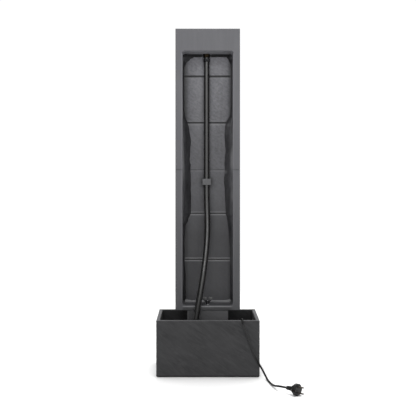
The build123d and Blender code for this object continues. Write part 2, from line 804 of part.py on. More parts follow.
# Shaft between the cover plate and the end of the rotor well, and its rear bush
with BuildPart() as impeller_shaft:
    with BuildSketch(pump_section(volute_front)):
        Circle(shaft_diameter / 2)
    extrude(amount=rotor_well_end + bush_length - volute_front)
save(impeller_shaft, "impeller_shaft")

with BuildPart() as shaft_bush:
    with BuildSketch(pump_section(rotor_well_end)):
        Circle(bush_diameter / 2)
        Circle(shaft_diameter / 2 + shaft_running_clearance, mode=Mode.SUBTRACT)
    extrude(amount=bush_length)
save(shaft_bush, "shaft_bush")

# Intake cover: slotted box that slides over the spigot
front_wall_inside = cover_front + cover_wall
with BuildPart() as intake_cover:
    with BuildSketch(pump_section(cover_front)):
        RectangleRounded(pump_width, pump_height, pump_corner_round)
    extrude(amount=cover_length)
    fillet(intake_cover.faces().sort_by(Axis.X)[0].edges(), cover_wall)
    with BuildSketch(pump_section(front_wall_inside)):
        RectangleRounded(
            pump_width - 2 * cover_wall, pump_height - 2 * cover_wall, pump_corner_round - cover_wall
        )
    extrude(amount=cover_length - cover_wall, mode=Mode.SUBTRACT)
    with BuildSketch(pump_section(cover_front)):
        with PolarLocations(0, slot_count):
            with Locations(((slot_inner + slot_outer) / 2, 0)):
                SlotOverall(slot_outer - slot_inner, slot_width)
        Circle(regulator_stem_diameter / 2 + regulator_clearance)
    extrude(amount=cover_wall, mode=Mode.SUBTRACT)
    side_slot_x = front_wall_inside + side_slot_length
    with BuildSketch(Plane.XZ.offset(-pump_y)):
        with Locations((side_slot_x, pump_axis_z)):
            with GridLocations(0, side_slot_pitch, 1, side_slot_count):
                SlotOverall(side_slot_length, side_slot_width)
    extrude(amount=pump_width, both=True, mode=Mode.SUBTRACT)
save(intake_cover, "intake_cover")

# Flow regulator: slotted disc behind the cover's front wall, stem and knob in front of it
disc_front = front_wall_inside + regulator_gap
knob_rear = cover_front - regulator_gap
with BuildPart() as flow_regulator:
    with BuildSketch(pump_section(disc_front)):
        Circle(regulator_disc_diameter / 2)
        with PolarLocations(0, slot_count):
            with Locations(((slot_inner + slot_outer) / 2, 0)):
                SlotOverall(slot_outer - slot_inner, slot_width, mode=Mode.SUBTRACT)
    extrude(amount=regulator_disc_thickness)
    with BuildSketch(pump_section(knob_rear)):
        Circle(regulator_stem_diameter / 2)
    extrude(amount=disc_front - knob_rear)
    with BuildSketch(pump_section(knob_rear)):
        Circle(regulator_knob_diameter / 2)
    extrude(amount=-regulator_knob_height)
    with BuildSketch(pump_section(knob_rear - regulator_knob_height)):
        Rectangle(regulator_grip_length, regulator_grip_width)
    extrude(amount=-regulator_grip_height)
save(flow_regulator, "flow_regulator")

# Outlet nipple in the neck, with barbs for the hose
with BuildPart() as outlet_nipple:
    with BuildSketch(Plane.XY.offset(neck_top - nipple_spigot_length)):
        with Locations((pump_outlet_x, pump_y)):
            Circle(nipple_spigot_diameter / 2)
            Circle(nipple_bore / 2, mode=Mode.SUBTRACT)
    extrude(amount=nipple_spigot_length)
    with BuildSketch(Plane.XY.offset(neck_top)):
        with Locations((pump_outlet_x, pump_y)):
            Circle(neck_diameter / 2)
            Circle(nipple_bore / 2, mode=Mode.SUBTRACT)
    extrude(amount=nipple_flange_height)
    with BuildSketch(upright_section(pump_outlet_x, pump_y)):
        with BuildLine():
            Polyline(*barb_outline(nipple_bore / 2, hose_foot + tail_barb_length, -1), close=True)
        make_face()
    revolve(axis=Axis((pump_outlet_x, pump_y, 0), (0, 0, 1)))
save(outlet_nipple, "outlet_nipple")


# Ringed tapers that guard the cord where it enters the pump and the plug
def ringed_taper(small, large, length, rings):
    # Half outline from the small end, as pairs of distance and radius
    outline = [(0, 0), (0, small)]
    pitch = length / (rings + 1)
    for ring in range(1, rings + 1):
        start = pitch * ring
        edge = small + (large - small) * start / length
        outline.append((start - pitch / 4, edge))
        outline.append((start - pitch / 4, edge - ring_depth))
        outline.append((start + pitch / 4, edge - ring_depth))
        outline.append((start + pitch / 4, edge))
    outline.append((length, large))
    return outline


gland_z = pump_axis_z + gland_lift
gland_tip = Vector(motor_end + gland_length, pump_y, gland_z)
gland_plane = Plane(origin=gland_tip, x_dir=(-1, 0, 0), z_dir=(0, 1, 0))
with BuildPart() as pump_gland:
    with BuildSketch(gland_plane):
        with BuildLine():
            gland_outline = ringed_taper(
                cord_radius + ring_depth, gland_large_diameter / 2, gland_length, gland_ring_count
            )
            Polyline(*gland_outline, (gland_length, 0), close=True)
        make_face()
    revolve(axis=Axis(gland_tip, (-1, 0, 0)))
save(pump_gland, "pump_gland")

# Mains cord: pump gland, up to the rear rim, over it, down the rear face, along the floor to the plug
rim_middle = rear_face + basin_wall / 2
arch_z = basin_height - arch_drop
arch_step = arch_radius * math.tan(math.pi / 8)
arch_corners = [
    (arch_radius, arch_step),
    (arch_step, arch_radius),
    (-arch_step, arch_radius),
    (-arch_radius, arch_step),
]
arch_points = []
for place, (in_from_rim, up) in enumerate(arch_corners):
    sideways = (place - (len(arch_corners) - 1) / 2) * arch_drift
    arch_points.append(Vector(cord_rim_x + sideways, rim_middle + in_from_rim, arch_z + up))
climb = arch_points[0] - gland_tip
lie = cord_radius + cord_floor_gap
cord_points = [gland_tip]
for along, out, up in cord_climb:
    cord_points.append(gland_tip + Vector(along * climb.X, out * climb.Y, up * climb.Z))
cord_points.extend(arch_points)
for along, out, up in cord_drop:
    cord_points.append(Vector(cord_rim_x + along, rear_face - out, up * basin_height))
for along, out, up in cord_approach + cord_lift:
    cord_points.append(Vector(cord_rim_x + along, rear_face - out, lie + up * (plug_z - lie)))
cord_radii = bend_radii(cord_points)
with BuildPart() as mains_cord:
    with BuildLine() as cord_route:
        FilletPolyline(*cord_points, radius=cord_radii)
    with BuildSketch(Plane(origin=gland_tip, z_dir=cord_points[1] - gland_tip)):
        Circle(cord_radius)
    sweep()
save(mains_cord, "mains_cord")
cord_length = cord_route.wire().length
cord_section = math.pi * cord_radius**2
print("cord bends", [round(r, 1) for r in cord_radii], "length", round(cord_length))
print("cord volume over section times length", mains_cord.part.volume / (cord_section * cord_length))

# Plug: boot, grip and round head, with two pins one above the other
plug_start = cord_points[-1]
plug_way = (cord_points[-1] - cord_points[-2]).normalized()
plug_side = plug_way.cross(Vector(0, 0, 1))
grip_start = plug_boot_length
head_start = grip_start + plug_grip_length
head_radius = plug_head_diameter / 2
pin_face = plug_start + plug_way * plug_length
pin_plane = Plane(origin=pin_face, x_dir=(0, 0, 1), z_dir=plug_way)
strip_offset = head_radius - earth_strip_thickness / 2
with BuildPart() as plug_body:
    with BuildSketch(Plane(origin=plug_start, x_dir=plug_way, z_dir=plug_side)):
        with BuildLine():
            boot_outline = ringed_taper(
                plug_boot_small_diameter / 2,
                plug_boot_large_diameter / 2,
                plug_boot_length,
                plug_boot_ring_count,
            )
            Polyline(
                *boot_outline,
                (grip_start, plug_grip_diameter / 2 - plug_edge_round),
                (grip_start + plug_edge_round, plug_grip_diameter / 2),
                (head_start, head_radius - plug_edge_round),
                (head_start + plug_edge_round, head_radius),
                (plug_length - plug_edge_round, head_radius),
                (plug_length, head_radius - plug_edge_round),
                (plug_length, 0),
                close=True,
            )
        make_face()
    revolve(axis=Axis(plug_start, plug_way))
    with BuildSketch(pin_plane):
        with GridLocations(pin_spacing, 0, 2, 1):
            Circle(pin_root_diameter / 2)
    extrude(amount=-pin_root_length, mode=Mode.SUBTRACT)
    with BuildSketch(pin_plane):
        with Locations((0, earth_hole_offset)):
            Circle(pin_diameter / 2)
    extrude(amount=-plug_head_length, mode=Mode.SUBTRACT)
    with BuildSketch(pin_plane):
        with GridLocations(0, 2 * strip_offset, 1, 2):
            Rectangle(earth_strip_width, 2 * earth_strip_thickness)
    extrude(amount=-plug_head_length, mode=Mode.SUBTRACT)
save(plug_body, "plug_body")

with BuildPart() as plug_pins:
    with BuildSketch(pin_plane):
        with GridLocations(pin_spacing, 0, 2, 1):
            Circle(pin_root_diameter / 2)
    extrude(amount=-pin_root_length)
    with BuildSketch(pin_plane):
        with GridLocations(pin_spacing, 0, 2, 1):
            Circle(pin_diameter / 2)
    extrude(amount=pin_length)
    for pin in plug_pins.solids():
        tip = pin.faces().sort_by(Axis(plug_start, plug_way))[-1]
        fillet(tip.edges(), pin_tip_round)
save(plug_pins, "plug_pins")

with BuildPart() as plug_earth_strips:
    with BuildSketch(pin_plane):
        with GridLocations(0, 2 * (strip_offset - earth_strip_thickness / 2), 1, 2):
            Rectangle(earth_strip_width, earth_strip_thickness)
    extrude(amount=-plug_head_length)
save(plug_earth_strips, "plug_earth_strips")
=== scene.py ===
import json
import math

import bpy
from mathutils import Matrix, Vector, noise


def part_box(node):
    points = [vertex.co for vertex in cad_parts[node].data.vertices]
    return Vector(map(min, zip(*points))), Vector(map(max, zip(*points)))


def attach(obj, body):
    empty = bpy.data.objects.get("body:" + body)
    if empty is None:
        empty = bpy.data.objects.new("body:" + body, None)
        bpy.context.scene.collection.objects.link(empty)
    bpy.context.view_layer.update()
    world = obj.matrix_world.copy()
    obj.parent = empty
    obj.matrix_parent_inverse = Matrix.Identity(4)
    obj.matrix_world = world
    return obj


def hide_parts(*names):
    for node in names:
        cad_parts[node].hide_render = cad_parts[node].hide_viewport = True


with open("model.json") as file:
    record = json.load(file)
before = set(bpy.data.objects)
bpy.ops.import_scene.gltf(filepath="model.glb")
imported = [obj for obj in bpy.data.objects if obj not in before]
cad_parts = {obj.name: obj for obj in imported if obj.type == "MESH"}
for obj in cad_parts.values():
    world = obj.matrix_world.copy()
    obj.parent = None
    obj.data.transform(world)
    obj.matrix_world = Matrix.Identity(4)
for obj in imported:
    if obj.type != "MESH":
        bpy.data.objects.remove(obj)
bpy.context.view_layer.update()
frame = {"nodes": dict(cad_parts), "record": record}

nodes = frame["nodes"]
scene = bpy.context.scene

# Sizes of the solids in metres, for the pieces that stand for them
basin_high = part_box("basin")[1]
basin_wall = 0.012
basin_floor = 0.012
pedestal_low, pedestal_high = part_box("pedestal")
slab_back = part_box("slab_1")[0].y
frame_low, frame_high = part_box("frame_lower")
frame_rear = frame_low.y
frame_joint = frame_high.z
hollow_half = 0.0875
hollow_floor = 0.233
hollow_ceiling = 1.118
weir_half = 0.075
weir_drop = 0.008
slab_count = 6
seam_above = 3


# Camera where the photograph was taken
camera_data = bpy.data.cameras.new("photo_camera")
camera = bpy.data.objects.new("photo_camera", camera_data)
scene.collection.objects.link(camera)
camera.location = (-0.0303, -3.144, 0.7044)
camera.rotation_euler = (math.radians(90), 0, 0)
camera_data.sensor_width = 36
camera_data.lens = 76.93
camera_data.shift_x = 0.0216
camera_data.shift_y = -0.0913
scene.camera = camera
scene.view_settings.view_transform = "Standard"


# Material helpers
def new_material(name, roughness, specular):
    material = bpy.data.materials.new(name)
    material.use_nodes = True
    shader = material.node_tree.nodes["Principled BSDF"]
    shader.inputs["Roughness"].default_value = roughness
    shader.inputs["Specular IOR Level"].default_value = specular
    return material, material.node_tree, shader


def place(tree, stretch=(1, 1, 1), turn=(0, 0, 0)):
    where = tree.nodes.new("ShaderNodeTexCoord")
    mapping = tree.nodes.new("ShaderNodeMapping")
    mapping.vector_type = "TEXTURE"
    mapping.inputs["Rotation"].default_value = turn
    mapping.inputs["Scale"].default_value = stretch
    tree.links.new(where.outputs["Object"], mapping.inputs["Vector"])
    return mapping.outputs["Vector"]


def grain(tree, vector, scale, detail=4, roughness=0.55, distortion=0.0):
    texture = tree.nodes.new("ShaderNodeTexNoise")
    texture.inputs["Scale"].default_value = scale
    texture.inputs["Detail"].default_value = detail
    texture.inputs["Roughness"].default_value = roughness
    texture.inputs["Distortion"].default_value = distortion
    tree.links.new(vector, texture.inputs["Vector"])
    return texture.outputs["Fac"]


def colours(tree, factor, stops):
    ramp = tree.nodes.new("ShaderNodeValToRGB")
    elements = ramp.color_ramp.elements
    while len(elements) < len(stops):
        elements.new(0.5)
    for element, (position, colour) in zip(elements, stops):
        element.position = position
        element.color = (*colour, 1)
    tree.links.new(factor, ramp.inputs["Fac"])
    return ramp.outputs["Color"]


def spread(tree, value, from_low, from_high, to_low, to_high):
    ranged = tree.nodes.new("ShaderNodeMapRange")
    ranged.interpolation_type = "SMOOTHSTEP"
    ranged.inputs["From Min"].default_value = from_low
    ranged.inputs["From Max"].default_value = from_high
    ranged.inputs["To Min"].default_value = to_low
    ranged.inputs["To Max"].default_value = to_high
    tree.links.new(value, ranged.inputs["Value"])
    return ranged.outputs["Result"]


def mixed(tree, factor, first, second, blend="MIX"):
    mixer = tree.nodes.new("ShaderNodeMix")
    mixer.data_type = "RGBA"
    mixer.blend_type = blend
    for value, socket in ((factor, mixer.inputs[0]), (first, mixer.inputs[6]), (second, mixer.inputs[7])):
        if isinstance(value, bpy.types.NodeSocket):
            tree.links.new(value, socket)
        elif isinstance(value, tuple):
            socket.default_value = (*value, 1)
        else:
            socket.default_value = value
    return mixer.outputs[2]


def multiplied(tree, first, *others):
    product = first
    for other in others:
        math_node = tree.nodes.new("ShaderNodeMath")
        math_node.operation = "MULTIPLY"
        tree.links.new(product, math_node.inputs[0])
        tree.links.new(other, math_node.inputs[1])
        product = math_node.outputs["Value"]
    return product


def near(mark, *offsets):
    return [mark + offset for offset in offsets]


def band(tree, value, rise, fall, strength=1):
    # From zero up to the strength over the rise, and down to zero again over the fall
    rising = spread(tree, value, *rise, 0, strength)
    falling = spread(tree, value, *fall, 1, 0)
    return multiplied(tree, rising, falling)


def grey(level):
    return (level, level, level)


def scaled(tree, colour, factor):
    return mixed(tree, 1.0, colour, grey(factor), "MULTIPLY")


def size_of(tree, value):
    math_node = tree.nodes.new("ShaderNodeMath")
    math_node.operation = "ABSOLUTE"
    tree.links.new(value, math_node.inputs[0])
    return math_node.outputs["Value"]


def along_axis(tree, axis, space="Object"):
    where = tree.nodes.new("ShaderNodeTexCoord")
    parts = tree.nodes.new("ShaderNodeSeparateXYZ")
    tree.links.new(where.outputs[space], parts.inputs["Vector"])
    return parts.outputs[axis]


def measured(tree, operation, vector):
    # Distance from a point, or way along a direction
    where = tree.nodes.new("ShaderNodeTexCoord")
    measure = tree.nodes.new("ShaderNodeVectorMath")
    measure.operation = operation
    tree.links.new(where.outputs["Object"], measure.inputs[0])
    measure.inputs[1].default_value = vector
    return measure.outputs["Value"]


def mesh_value(tree, name):
    attribute = tree.nodes.new("ShaderNodeAttribute")
    attribute.attribute_name = name
    return attribute.outputs["Fac"]


def relief(tree, shader, layers):
    normal = None
    for height, strength, distance in layers:
        bump = tree.nodes.new("ShaderNodeBump")
        bump.inputs["Strength"].default_value = strength
        bump.inputs["Distance"].default_value = distance
        tree.links.new(height, bump.inputs["Height"])
        if normal is not None:
            tree.links.new(normal, bump.inputs["Normal"])
        normal = bump.outputs["Normal"]
    tree.links.new(normal, shader.inputs["Normal"])


def tinted(tree, colour, factor, stops, strength=1.0):
    # The colour times a grey that follows the factor
    greys = colours(tree, factor, [(position, grey(level)) for position, level in stops])
    return mixed(tree, strength, colour, greys, "MULTIPLY")


# Slant of the slate's cleavage lines
slate_lean = math.radians(37)
slate_turn = (0, slate_lean, 0)

# Tone of the slabs' backs, by the share of the height between two marks, darker towards the foot; the last
# stop is painted light just under the top rail
tone_low = 0.2
tone_high = 1.15
slab_tones = [
    (0.105, 0.218),
    (0.28, 0.187),
    (0.449, 0.345),
    (0.621, 0.405),
    (0.798, 0.61),
    (0.926, 0.72),
    (0.955, 1.0),
]


def slab_colour(tree):
    # Slab grey: in the hollow its tone goes with the height, darker towards the foot of the wall, with
    # painted light just under the top rail
    clouds = grain(tree, place(tree), 8, 5, 0.6)
    base = colours(tree, clouds, [(0.3, (0.157, 0.157, 0.172)), (0.7, (0.19, 0.189, 0.206))])
    height = tree.nodes.new("ShaderNodeMapRange")
    height.inputs["From Min"].default_value = tone_low
    height.inputs["From Max"].default_value = tone_high
    tree.links.new(along_axis(tree, "Z"), height.inputs["Value"])
    rear = tinted(tree, base, height.outputs["Result"], slab_tones)
    front = scaled(tree, base, 0.5)
    outside = spread(tree, along_axis(tree, "Y"), *near(slab_back, 0.004, 0.012), 0, 1)
    return mixed(tree, outside, rear, front)


# Cast slate of basin and pedestal: dark, with slanting cleavage lines and rubbed edges, painted shade
# inside the basin and at its foot, and painted light on the pedestal
def cast_slate():
    material, tree, shader = new_material("cast_slate", 0.7, 0.3)
    rubbed_and_lit = (0.1, 0.1, 0.105)
    clouds = grain(tree, place(tree), 9, 5, 0.6)
    lines = grain(tree, place(tree, (5, 2, 1), slate_turn), 120, 6, 0.65, 0.6)
    patches = grain(tree, place(tree, (2, 1, 1), slate_turn), 22, 3, 0.5)
    grit = grain(tree, place(tree), 900, 3, 0.6)
    base = colours(tree, clouds, [(0.3, (0.0203, 0.0203, 0.0214)), (0.7, (0.0253, 0.0253, 0.0266))])
    streaked = tinted(tree, base, lines, [(0.3, 0.75), (0.55, 1.0), (0.78, 1.4)])
    colour = mixed(tree, spread(tree, patches, 0.35, 0.65, 0.1, 0.8), base, streaked)
    # Painted shade inside the basin and along its foot, then painted light on the pedestal
    colour = mixed(tree, mesh_value(tree, "shade"), colour, (0.004, 0.004, 0.0042))
    colour = mixed(tree, mesh_value(tree, "pale"), colour, rubbed_and_lit)
    worn = multiplied(tree, mesh_value(tree, "wear"), spread(tree, grit, 0.3, 0.6, 0.55, 1.0))
    colour = mixed(tree, worn, colour, rubbed_and_lit)
    tree.links.new(colour, shader.inputs["Base Color"])
    tree.links.new(spread(tree, lines, 0.3, 0.7, 0.8, 0.62), shader.inputs["Roughness"])
    relief(tree, shader, [(lines, 0.25, 0.001), (grit, 0.2, 0.0004)])
    return material


def over_sill(tree):
    # One over the width of the hollow, fading out at the rails
    across = along_axis(tree, "X")
    return band(tree, across, near(-hollow_half, -0.004, 0.006), near(hollow_half, -0.012, 0.002))


def sill_face(tree):
    # Darker rear face of the sill across the hollow
    low = spread(tree, along_axis(tree, "Z"), *near(hollow_floor, -0.0085, -0.0055), 0.85, 0)
    rear = spread(tree, along_axis(tree, "Y"), *near(frame_rear, 0.004, 0.007), 1, 0)
    return multiplied(tree, low, rear, over_sill(tree))


def sill_edge_highlight(tree):
    # Painted highlight along the sill's rounded edge
    height = along_axis(tree, "Z")
    edge = band(
        tree, height, near(hollow_floor, -0.0065, -0.0042), near(hollow_floor, -0.0034, -0.0014), 0.68
    )
    rear = spread(tree, along_axis(tree, "Y"), *near(frame_rear, 0.003, 0.006), 1, 0)
    return multiplied(tree, edge, rear, over_sill(tree))


def sill_top_light(tree):
    # Painted light on the sill's top in front of the cove
    height = along_axis(tree, "Z")
    level = band(tree, height, near(hollow_floor, -0.001, -0.0003), near(hollow_floor, 0.0003, 0.001), 0.7)
    far = spread(tree, along_axis(tree, "Y"), *near(slab_back, -0.05, -0.03), 0, 1)
    clear = spread(tree, size_of(tree, along_axis(tree, "X")), 0.008, 0.014, 0, 1)
    return multiplied(tree, level, far, clear, over_sill(tree))


def rail_edge_light(tree):
    # Painted light on the rounded edge of both rails along the hollow
    out = size_of(tree, along_axis(tree, "X"))
    edge = band(tree, out, near(hollow_half, -0.0006, 0.0004), near(hollow_half, 0.0025, 0.0045), 0.6)
    rear = spread(tree, along_axis(tree, "Y"), *near(frame_rear, 0.0035, 0.0055), 1, 0)
    height = along_axis(tree, "Z")
    length = band(tree, height, near(hollow_floor, 0.004, 0.015), near(hollow_ceiling, -0.012, -0.004))
    return multiplied(tree, edge, rear, length)


def ceiling_light(tree):
    # Painted light on the underside of the top rail, paler than the rails
    height = along_axis(tree, "Z")
    level = band(tree, height, near(hollow_ceiling, -0.009, -0.002), near(hollow_ceiling, 0.001, 0.003))
    inside = spread(tree, along_axis(tree, "Y"), *near(frame_rear, 0.002, 0.005), 0, 1)
    out = size_of(tree, along_axis(tree, "X"))
    across = spread(tree, out, *near(hollow_half, 0.0005, 0.002), 1, 0)
    return multiplied(tree, level, inside, across)


# Smooth cast grey of the two frame sections, darker towards the foot and in the joint, with painted light
# on the edges of the rails, the ceiling and the sill top of the hollow, and a painted highlight on the
# sill's edge
def frame_slate():
    material, tree, shader = new_material("frame_slate", 0.62, 0.4)
    clouds = grain(tree, place(tree), 7, 4, 0.55)
    grit = grain(tree, place(tree), 700, 3, 0.6)
    runs = grain(tree, place(tree, (1, 1, 9)), 60, 3, 0.5)
    height = along_axis(tree, "Z")
    base = colours(tree, clouds, [(0.3, (0.092, 0.092, 0.1)), (0.7, (0.103, 0.103, 0.112))])
    up_the_wall = spread(tree, height, 0.2, 1.2, 0, 1)
    colour = tinted(tree, base, up_the_wall, [(0.0, 0.42), (0.35, 0.63), (0.8, 0.84), (1.0, 0.81)])
    colour = tinted(tree, colour, runs, [(0.35, 0.9), (0.65, 1.06)], 0.6)
    joint = band(tree, height, near(frame_joint, -0.003, -0.0006), near(frame_joint, 0.0006, 0.003), 0.45)
    colour = mixed(tree, joint, colour, grey(0.006))
    colour = mixed(tree, sill_face(tree), colour, (0.016, 0.016, 0.017))
    colour = mixed(tree, sill_edge_highlight(tree), colour, (0.15, 0.15, 0.155))
    colour = mixed(tree, sill_top_light(tree), colour, (0.12, 0.12, 0.125))
    colour = mixed(tree, rail_edge_light(tree), colour, scaled(tree, colour, 1.95))
    colour = mixed(tree, ceiling_light(tree), colour, scaled(tree, colour, 2.5))
    # Only the cove carries a wear value here: painted light on its upward face, with a painted shadow
    # behind the nut
    worn = multiplied(tree, mesh_value(tree, "wear"), spread(tree, grit, 0.3, 0.6, 0.7, 1.0))
    colour = mixed(tree, worn, colour, (0.23, 0.23, 0.235))
    tree.links.new(colour, shader.inputs["Base Color"])
    tree.links.new(spread(tree, clouds, 0.3, 0.7, 0.55, 0.7), shader.inputs["Roughness"])
    relief(tree, shader, [(grit, 0.12, 0.0003), (clouds, 0.05, 0.002)])
    return material


# Riven slate of the slabs: fine slanting grain high up, damp upright streaks low down, pale arrises
def riven_slate():
    material, tree, shader = new_material("riven_slate", 0.62, 0.4)
    lines = grain(tree, place(tree, (4, 1, 1), slate_turn), 190, 6, 0.65, 0.3)
    runs = grain(tree, place(tree, (1, 1, 12)), 45, 4, 0.55)
    mottle = grain(tree, place(tree), 120, 3, 0.6)
    grit = grain(tree, place(tree), 900, 3, 0.6)
    height = along_axis(tree, "Z")
    high_up = spread(tree, height, 0.45, 0.85, 0.25, 0.9)
    low_down = spread(tree, height, 0.4, 0.8, 0.85, 0.15)
    colour = slab_colour(tree)
    colour = mixed(tree, high_up, colour, tinted(tree, colour, lines, [(0.3, 0.8), (0.7, 1.2)]))
    colour = mixed(tree, high_up, colour, tinted(tree, colour, mottle, [(0.38, 0.86), (0.62, 1.14)]))
    colour = mixed(tree, low_down, colour, tinted(tree, colour, runs, [(0.35, 0.8), (0.65, 1.15)]))
    # Painted shade beside the rails, the hose and the clip
    colour = mixed(tree, mesh_value(tree, "shade"), colour, (0.006, 0.006, 0.0065))
    worn = multiplied(tree, mesh_value(tree, "wear"), spread(tree, grit, 0.3, 0.6, 0.4, 1.0))
    colour = mixed(tree, worn, colour, (0.19, 0.19, 0.195))
    colour = mixed(tree, mesh_value(tree, "grime"), colour, grey(0.006))
    tree.links.new(colour, shader.inputs["Base Color"])
    tree.links.new(spread(tree, runs, 0.3, 0.7, 0.5, 0.68), shader.inputs["Roughness"])
    relief(tree, shader, [(lines, 0.3, 0.001), (grit, 0.2, 0.0004)])
    return material


# Black sealant, drawn out in upright streaks, with paler smears, a painted highlight towards the rail, and
# painted shade under the top rail, where it is also dull
def sealant():
    material, tree, shader = new_material("sealant", 0.45, 0.5)
    streaks = grain(tree, place(tree, (1, 1, 14)), 160, 5, 0.6, 0.3)
    smears = grain(tree, place(tree, (1, 1, 9)), 95, 4, 0.6, 0.5)
    lumps = grain(tree, place(tree, (1, 1, 3)), 45, 4, 0.6)
    colour = colours(
        tree,
        streaks,
        [(0.42, (0.0095, 0.0095, 0.0105)), (0.5, (0.0165, 0.0165, 0.0185)), (0.6, (0.034, 0.034, 0.038))],
    )
    # The wear value here is the beads' painted highlight towards the rail
    worn = multiplied(tree, mesh_value(tree, "wear"), spread(tree, smears, 0.42, 0.6, 0.1, 1.0))
    colour = mixed(tree, worn, colour, (0.1, 0.1, 0.107))
    colour = mixed(tree, mesh_value(tree, "pale"), colour, (0.17, 0.17, 0.176))
    height = along_axis(tree, "Z")
    shade_under_rail = near(hollow_ceiling, -0.016, -0.006)
    # Painted shade under the top rail
    colour = mixed(tree, spread(tree, height, *shade_under_rail, 0, 0.85), colour, (0.0165, 0.0165, 0.0175))
    tree.links.new(colour, shader.inputs["Base Color"])
    tree.links.new(spread(tree, height, *shade_under_rail, 0.5, 0.1), shader.inputs["Specular IOR Level"])
    tree.links.new(spread(tree, streaks, 0.3, 0.7, 0.4, 0.65), shader.inputs["Roughness"])
    relief(tree, shader, [(lumps, 0.35, 0.003), (streaks, 0.35, 0.001)])
    return material


# Moulded rubber and plastics: a fine spark-eroded grain with faint dust, duller outside a band of heights
def moulded(name, dark, pale, roughness, specular, stippled=0.06, filmed=None):
    material, tree, shader = new_material(name, roughness, specular)
    if filmed is not None:
        low, bright_low, bright_high, high = filmed
        dulled = 0.3
        height = along_axis(tree, "Z")
        rising = spread(tree, height, low, bright_low, dulled, 1)
        falling = spread(tree, height, bright_high, high, specular, dulled * specular)
        tree.links.new(multiplied(tree, rising, falling), shader.inputs["Specular IOR Level"])
    dust = grain(tree, place(tree), 55, 4, 0.6)
    stipple = grain(tree, place(tree), 1400, 2, 0.5)
    tree.links.new(colours(tree, dust, [(0.35, dark), (0.72, pale)]), shader.inputs["Base Color"])
    dusty = spread(tree, dust, 0.3, 0.75, *near(roughness, -0.06, 0.1))
    tree.links.new(dusty, shader.inputs["Roughness"])
    relief(tree, shader, [(stipple, stippled, 0.0001)])
    return material


# Metals: turned or plated, with fine tool marks and dull patches, some with tarnish, the wing nut with
# wings and tips rubbed paler, which is also painted light on their tops
def metal(name, bright, dull, roughness, scale, stretch=(1, 1, 1), rubbed_and_lit=None, tarnished=None):
    material, tree, shader = new_material(name, roughness, 0.5)
    shader.inputs["Metallic"].default_value = 1.0
    patches = grain(tree, place(tree), 90, 4, 0.6)
    marks = grain(tree, place(tree, stretch), scale, 3, 0.5)
    colour = colours(tree, patches, [(0.35, dull), (0.65, bright)])
    if rubbed_and_lit is not None:
        low, high = rubbed_and_lit
        fade = 0.003
        height = along_axis(tree, "Z")
        # Wings and tips rubbed paler, which is also painted light on their tops
        wings = band(tree, height, near(low, -0.0065, -0.0035), near(high, 0, fade))
        tips = band(tree, height, near(low, 0, fade), near(high, 0, fade))
        colour = mixed(tree, wings, colour, (0.05, 0.05, 0.051))
        colour = mixed(tree, tips, colour, grey(0.09))
    if tarnished is not None:
        way, start = tarnished
        behind = spread(tree, measured(tree, "DOT_PRODUCT", way), *near(start, -0.0006, 0.0004), 1, 0)
        colour = mixed(tree, behind, colour, (0.012, 0.011, 0.01))
    tree.links.new(colour, shader.inputs["Base Color"])
    dulled = spread(tree, patches, 0.3, 0.7, *near(roughness, 0.15, -0.05))
    tree.links.new(dulled, shader.inputs["Roughness"])
    relief(tree, shader, [(marks, 0.1, 0.0002)])
    return material


# Plug: the way its pins point and the middle of its face
plug_start = Vector((0.247, -0.345, 0.019))
plug_face = Vector((0.28037, -0.37519, 0.019))
plug_way = (plug_face - plug_start).normalized()

finish = {
    "cast_slate": cast_slate(),
    "frame_slate": frame_slate(),
    "riven_slate": riven_slate(),
    "sealant": sealant(),
    "clip_plastic": moulded("clip_plastic", (0.055, 0.055, 0.058), (0.072, 0.072, 0.076), 0.5, 0.35),
    "hose_rubber": moulded(
        "hose_rubber",
        (0.004, 0.004, 0.0042),
        (0.007, 0.0068, 0.0062),
        0.32,
        0.58,
        stippled=0.008,
        filmed=(0.19, 0.42, 2, 3),
    ),
    "tail_brass": metal("tail_brass", (0.03, 0.022, 0.013), (0.015, 0.011, 0.007), 0.5, 1200, (1, 1, 0.1)),
    "zinc_steel": metal("zinc_steel", (0.3, 0.3, 0.31), (0.15, 0.15, 0.16), 0.45, 900),
    "dark_steel": metal(
        "dark_steel", (0.03, 0.03, 0.032), (0.014, 0.014, 0.015), 0.5, 700, rubbed_and_lit=(0.2525, 0.265)
    ),
    "pump_plastic": moulded("pump_plastic", (0.012, 0.012, 0.014), (0.022, 0.022, 0.024), 0.48, 0.45),
    "rotor_plastic": moulded("rotor_plastic", (0.07, 0.075, 0.1), (0.1, 0.11, 0.14), 0.42, 0.45),
    "shaft_ceramic": moulded("shaft_ceramic", (0.68, 0.67, 0.63), (0.78, 0.77, 0.73), 0.25, 0.5),
    "cord_rubber": moulded(
        "cord_rubber",
        (0.003, 0.003, 0.0032),
        (0.006, 0.006, 0.0062),
        0.5,
        0.45,
        filmed=(0.05, 0.09, 0.174, 0.19),
    ),
    "plug_plastic": moulded("plug_plastic", (0.0025, 0.0025, 0.0027), (0.0055, 0.0055, 0.0058), 0.42, 0.25),
    "pin_nickel": metal(
        "pin_nickel",
        (0.15, 0.128, 0.112),
        (0.065, 0.055, 0.047),
        0.45,
        1500,
        (0.3, 0.3, 1),
        tarnished=(plug_way, plug_face.dot(plug_way)),
    ),
}


# Every solid carries its own finish, and the pieces below stand for some of them
slots = {entry["node"]: entry["material_slot"] for entry in frame["record"]["subparts"]}
for node, solid in nodes.items():
    solid.data.materials.clear()
    solid.data.materials.append(finish[slots[node]])


def settle(piece, material, node):
    piece.data.materials.append(finish[material])
    scene.collection.objects.link(piece)
    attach(piece, "stand")
    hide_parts(node)
    return piece


